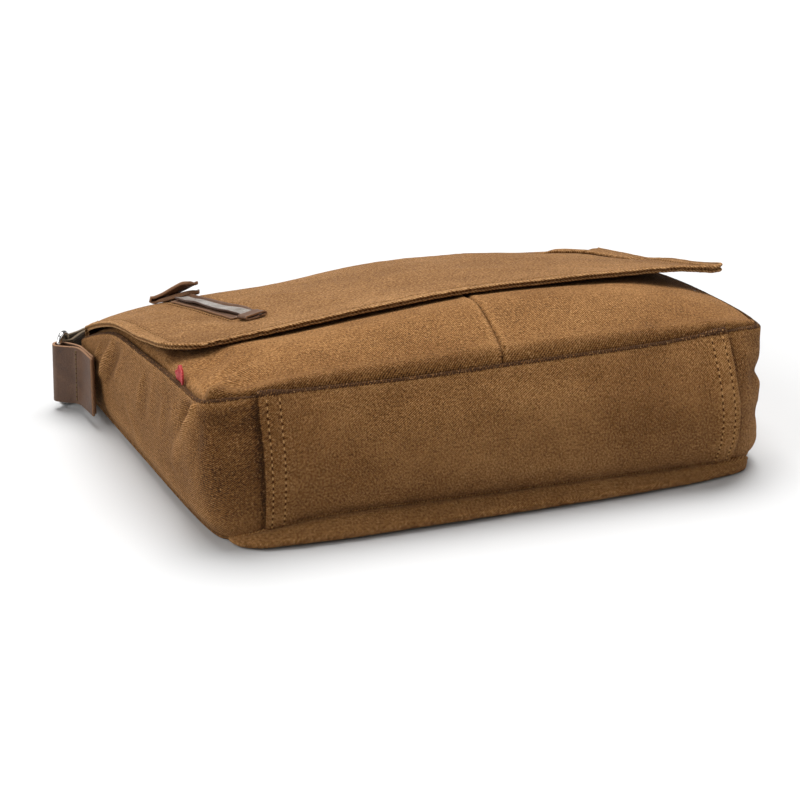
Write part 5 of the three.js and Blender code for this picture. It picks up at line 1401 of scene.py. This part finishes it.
for i in range(len(lev)):
    if abs(dm[i, 0]) < 5 and abs(dm[i, 1]) < 1:
        lev[i] = (0, 1, 0)
tl = np.radians(WEB["tilt"])
Wm = lev * np.cos(tl)[:, None] + np.array([0, 0, 1.0]) * np.sin(tl)[:, None]
path3 = np.concatenate([left, mid, right])
wid = np.concatenate([np.tile([0, 0, 1.0], (len(left), 1)), Wm, np.tile([0, 0, -1.0], (len(right), 1))])
Pw, Ww = smooth_path(path3, 6, (wid,))
Ww = unit(Ww)
strap_length = float(np.linalg.norm(np.diff(Pw, axis=0), axis=1).sum())
web, VW, *_ = ribbon("shoulder_strap_webbing", Pw, Ww, WEB_WIDTH, WEB_THICK, "webbing", across=28, cut=1.0, replaces=("shoulder_strap",), slot="webbing")

# red cloth tab: a small folded tape standing in the left front seam
TAG = [(-1.5, 0.0, 15), (0.0, 0.2, 15.6), (2.0, 0.8, 15.8), (5.0, 1.6, 14.6), (7.5, 2.0, 12), (9.8, 1.2, 6.6), (11.4, 0.5, 2.6), (12.2, 0.0, 0.7)]
s0 = 218.0
base = front(np.array(s0)) + outward(np.array(s0), np.array(1.0)) * -2.4 + np.array([0, 0, -1.5])
h = np.array([r[0] for r in TAG])
w = np.array([r[2] for r in TAG])
Pt = np.stack([base + np.array([0.05 * r[0], -r[1], r[0]]) for r in TAG])
Pt, Wt = smooth_path(Pt, 6, (w[:, None],))
wd = np.tile([0.0, 1.0, -0.045], (len(Pt), 1))
ribbon("red_tag_tape", Pt, wd, Wt[:, 0], 0.9, "red_cloth", across=14, cut=0.4, bend=lambda a, i: (1.5 * np.abs(a + 0.15) - 0.5 * np.sin(a * 9)) * smooth((i - 4) / 14), replaces=("red_tag",), slot="red_cloth")

# ---------------------------------------------------------------- cut table of the soft pieces; the loop below builds each piece's extras with its area and does nothing more
# cut sizes worked out from the drawing's tables: width, length and, where the cut isn't a rectangle, its area
CUTS = [
    ("back_panel_cloth", (0.372, 0.300), 0.1087, "laid", {}),
    ("gusset_left_cloth", (0.100, 0.309), 0.0257, "stretched", {"with_pieces": ["red_tag_tape"]}),
    ("bottom_panel_cloth", (0.094, 0.342), 0.0311, "stretched", {"with_pieces": ["seam_stitches", "seam_holes"]}),
    ("gusset_right_cloth", (0.094, 0.309), 0.0249, "stretched", {}),
    ("front_panel_left_cloth", (0.208, 0.265), None, "laid", {}),
    ("front_panel_right_cloth", (0.172, 0.265), None, "laid", {}),
    ("flap_cloth", (0.384, 0.290), None, "draped", {"rests_on": ["front_panel_left_cloth", "front_panel_right_cloth"], "with_pieces": ["flap_stitches", "rim_stitches"]}),
    ("flap_pocket_lip", (0.026, 0.078), None, "folded", {"rests_on": ["flap_cloth"]}),
    ("shoulder_strap_webbing", (0.040, 0.900), None, "folded", {}),
    ("flap_strap_base_leather", (0.0155, 0.1165), None, "laid", {"rests_on": ["flap_cloth"]}),
    ("strap_keeper_leather", (0.010, 0.034), None, "folded", {"rests_on": ["flap_cloth"]}),
    ("pull_tab_leather", (0.0117, 0.082), None, "folded", {"rests_on": ["flap_strap_base_leather"]}),
    ("ring_tab_left_leather", (0.040, 0.092), None, "folded", {}),
    ("ring_tab_right_leather", (0.040, 0.092), None, "folded", {}),
]
for name, flat, area, held, more in CUTS:
    if area is not None:
        more = dict(more, area=area)

# ---------------------------------------------------------------- floor, light, camera
fm, bsdf, node, link = material("floor_white")
bsdf.inputs["Base Color"].default_value = (0.5, 0.5, 0.5, 1)
bsdf.inputs["Roughness"].default_value = 0.9
bsdf.inputs["Specular IOR Level"].default_value = 0.1
me = bpy.data.meshes.new("floor")
me.from_pydata([(x, y, -0.0004) for x, y in ((-9, -9), (9, -9), (9, 9), (-9, 9))], [], [(0, 1, 2, 3)])
me.materials.append(fm)
floor = bpy.data.objects.new("floor", me)
bpy.context.scene.collection.objects.link(floor)

world = bpy.data.worlds.new("studio")
bpy.context.scene.world = world
world.use_nodes = True
world.node_tree.nodes["Background"].inputs[0].default_value = (1, 1, 1, 1)
world.node_tree.nodes["Background"].inputs[1].default_value = 0.16


def sun(name, direction, strength, angle, colour=(1, 1, 1)):
    d = bpy.data.lights.new(name, "SUN")
    d.energy, d.angle, d.color = strength, math.radians(angle), colour
    o = bpy.data.objects.new(name, d)
    from mathutils import Vector
    o.rotation_euler = (-Vector(direction)).to_track_quat("-Z", "Y").to_euler()
    bpy.context.scene.collection.objects.link(o)
    return o


sun("overhead", (0.12, 0.35, 1.0), 5.2, 46)
sun("left", (-1.0, 0.0, 0.6), 2.15, 60)
sun("right", (1.0, -0.6, 0.4), 1.08, 75)

cam = bpy.data.cameras.new("camera")
cam.lens, cam.sensor_width = 202.5, 36.0
cam.clip_end = 60
co = bpy.data.objects.new("camera", cam)
co.location = (-0.99677, -2.57510 + ORIGIN[1] * 0.001, 1.11049)
co.rotation_euler = (math.radians(68.492), 0, math.radians(-20.975))
bpy.context.scene.collection.objects.link(co)
bpy.context.scene.camera = co
bpy.context.scene.view_settings.view_transform = "Standard"

tris = {o.name: sum(len(p.vertices) - 2 for p in o.data.polygons) for o in bpy.data.objects if o.type == "MESH" and not o.hide_render}
print("triangles", sum(tris.values()), sorted(tris.items(), key=lambda t: -t[1])[:6], "strap", round(strap_length, 1))
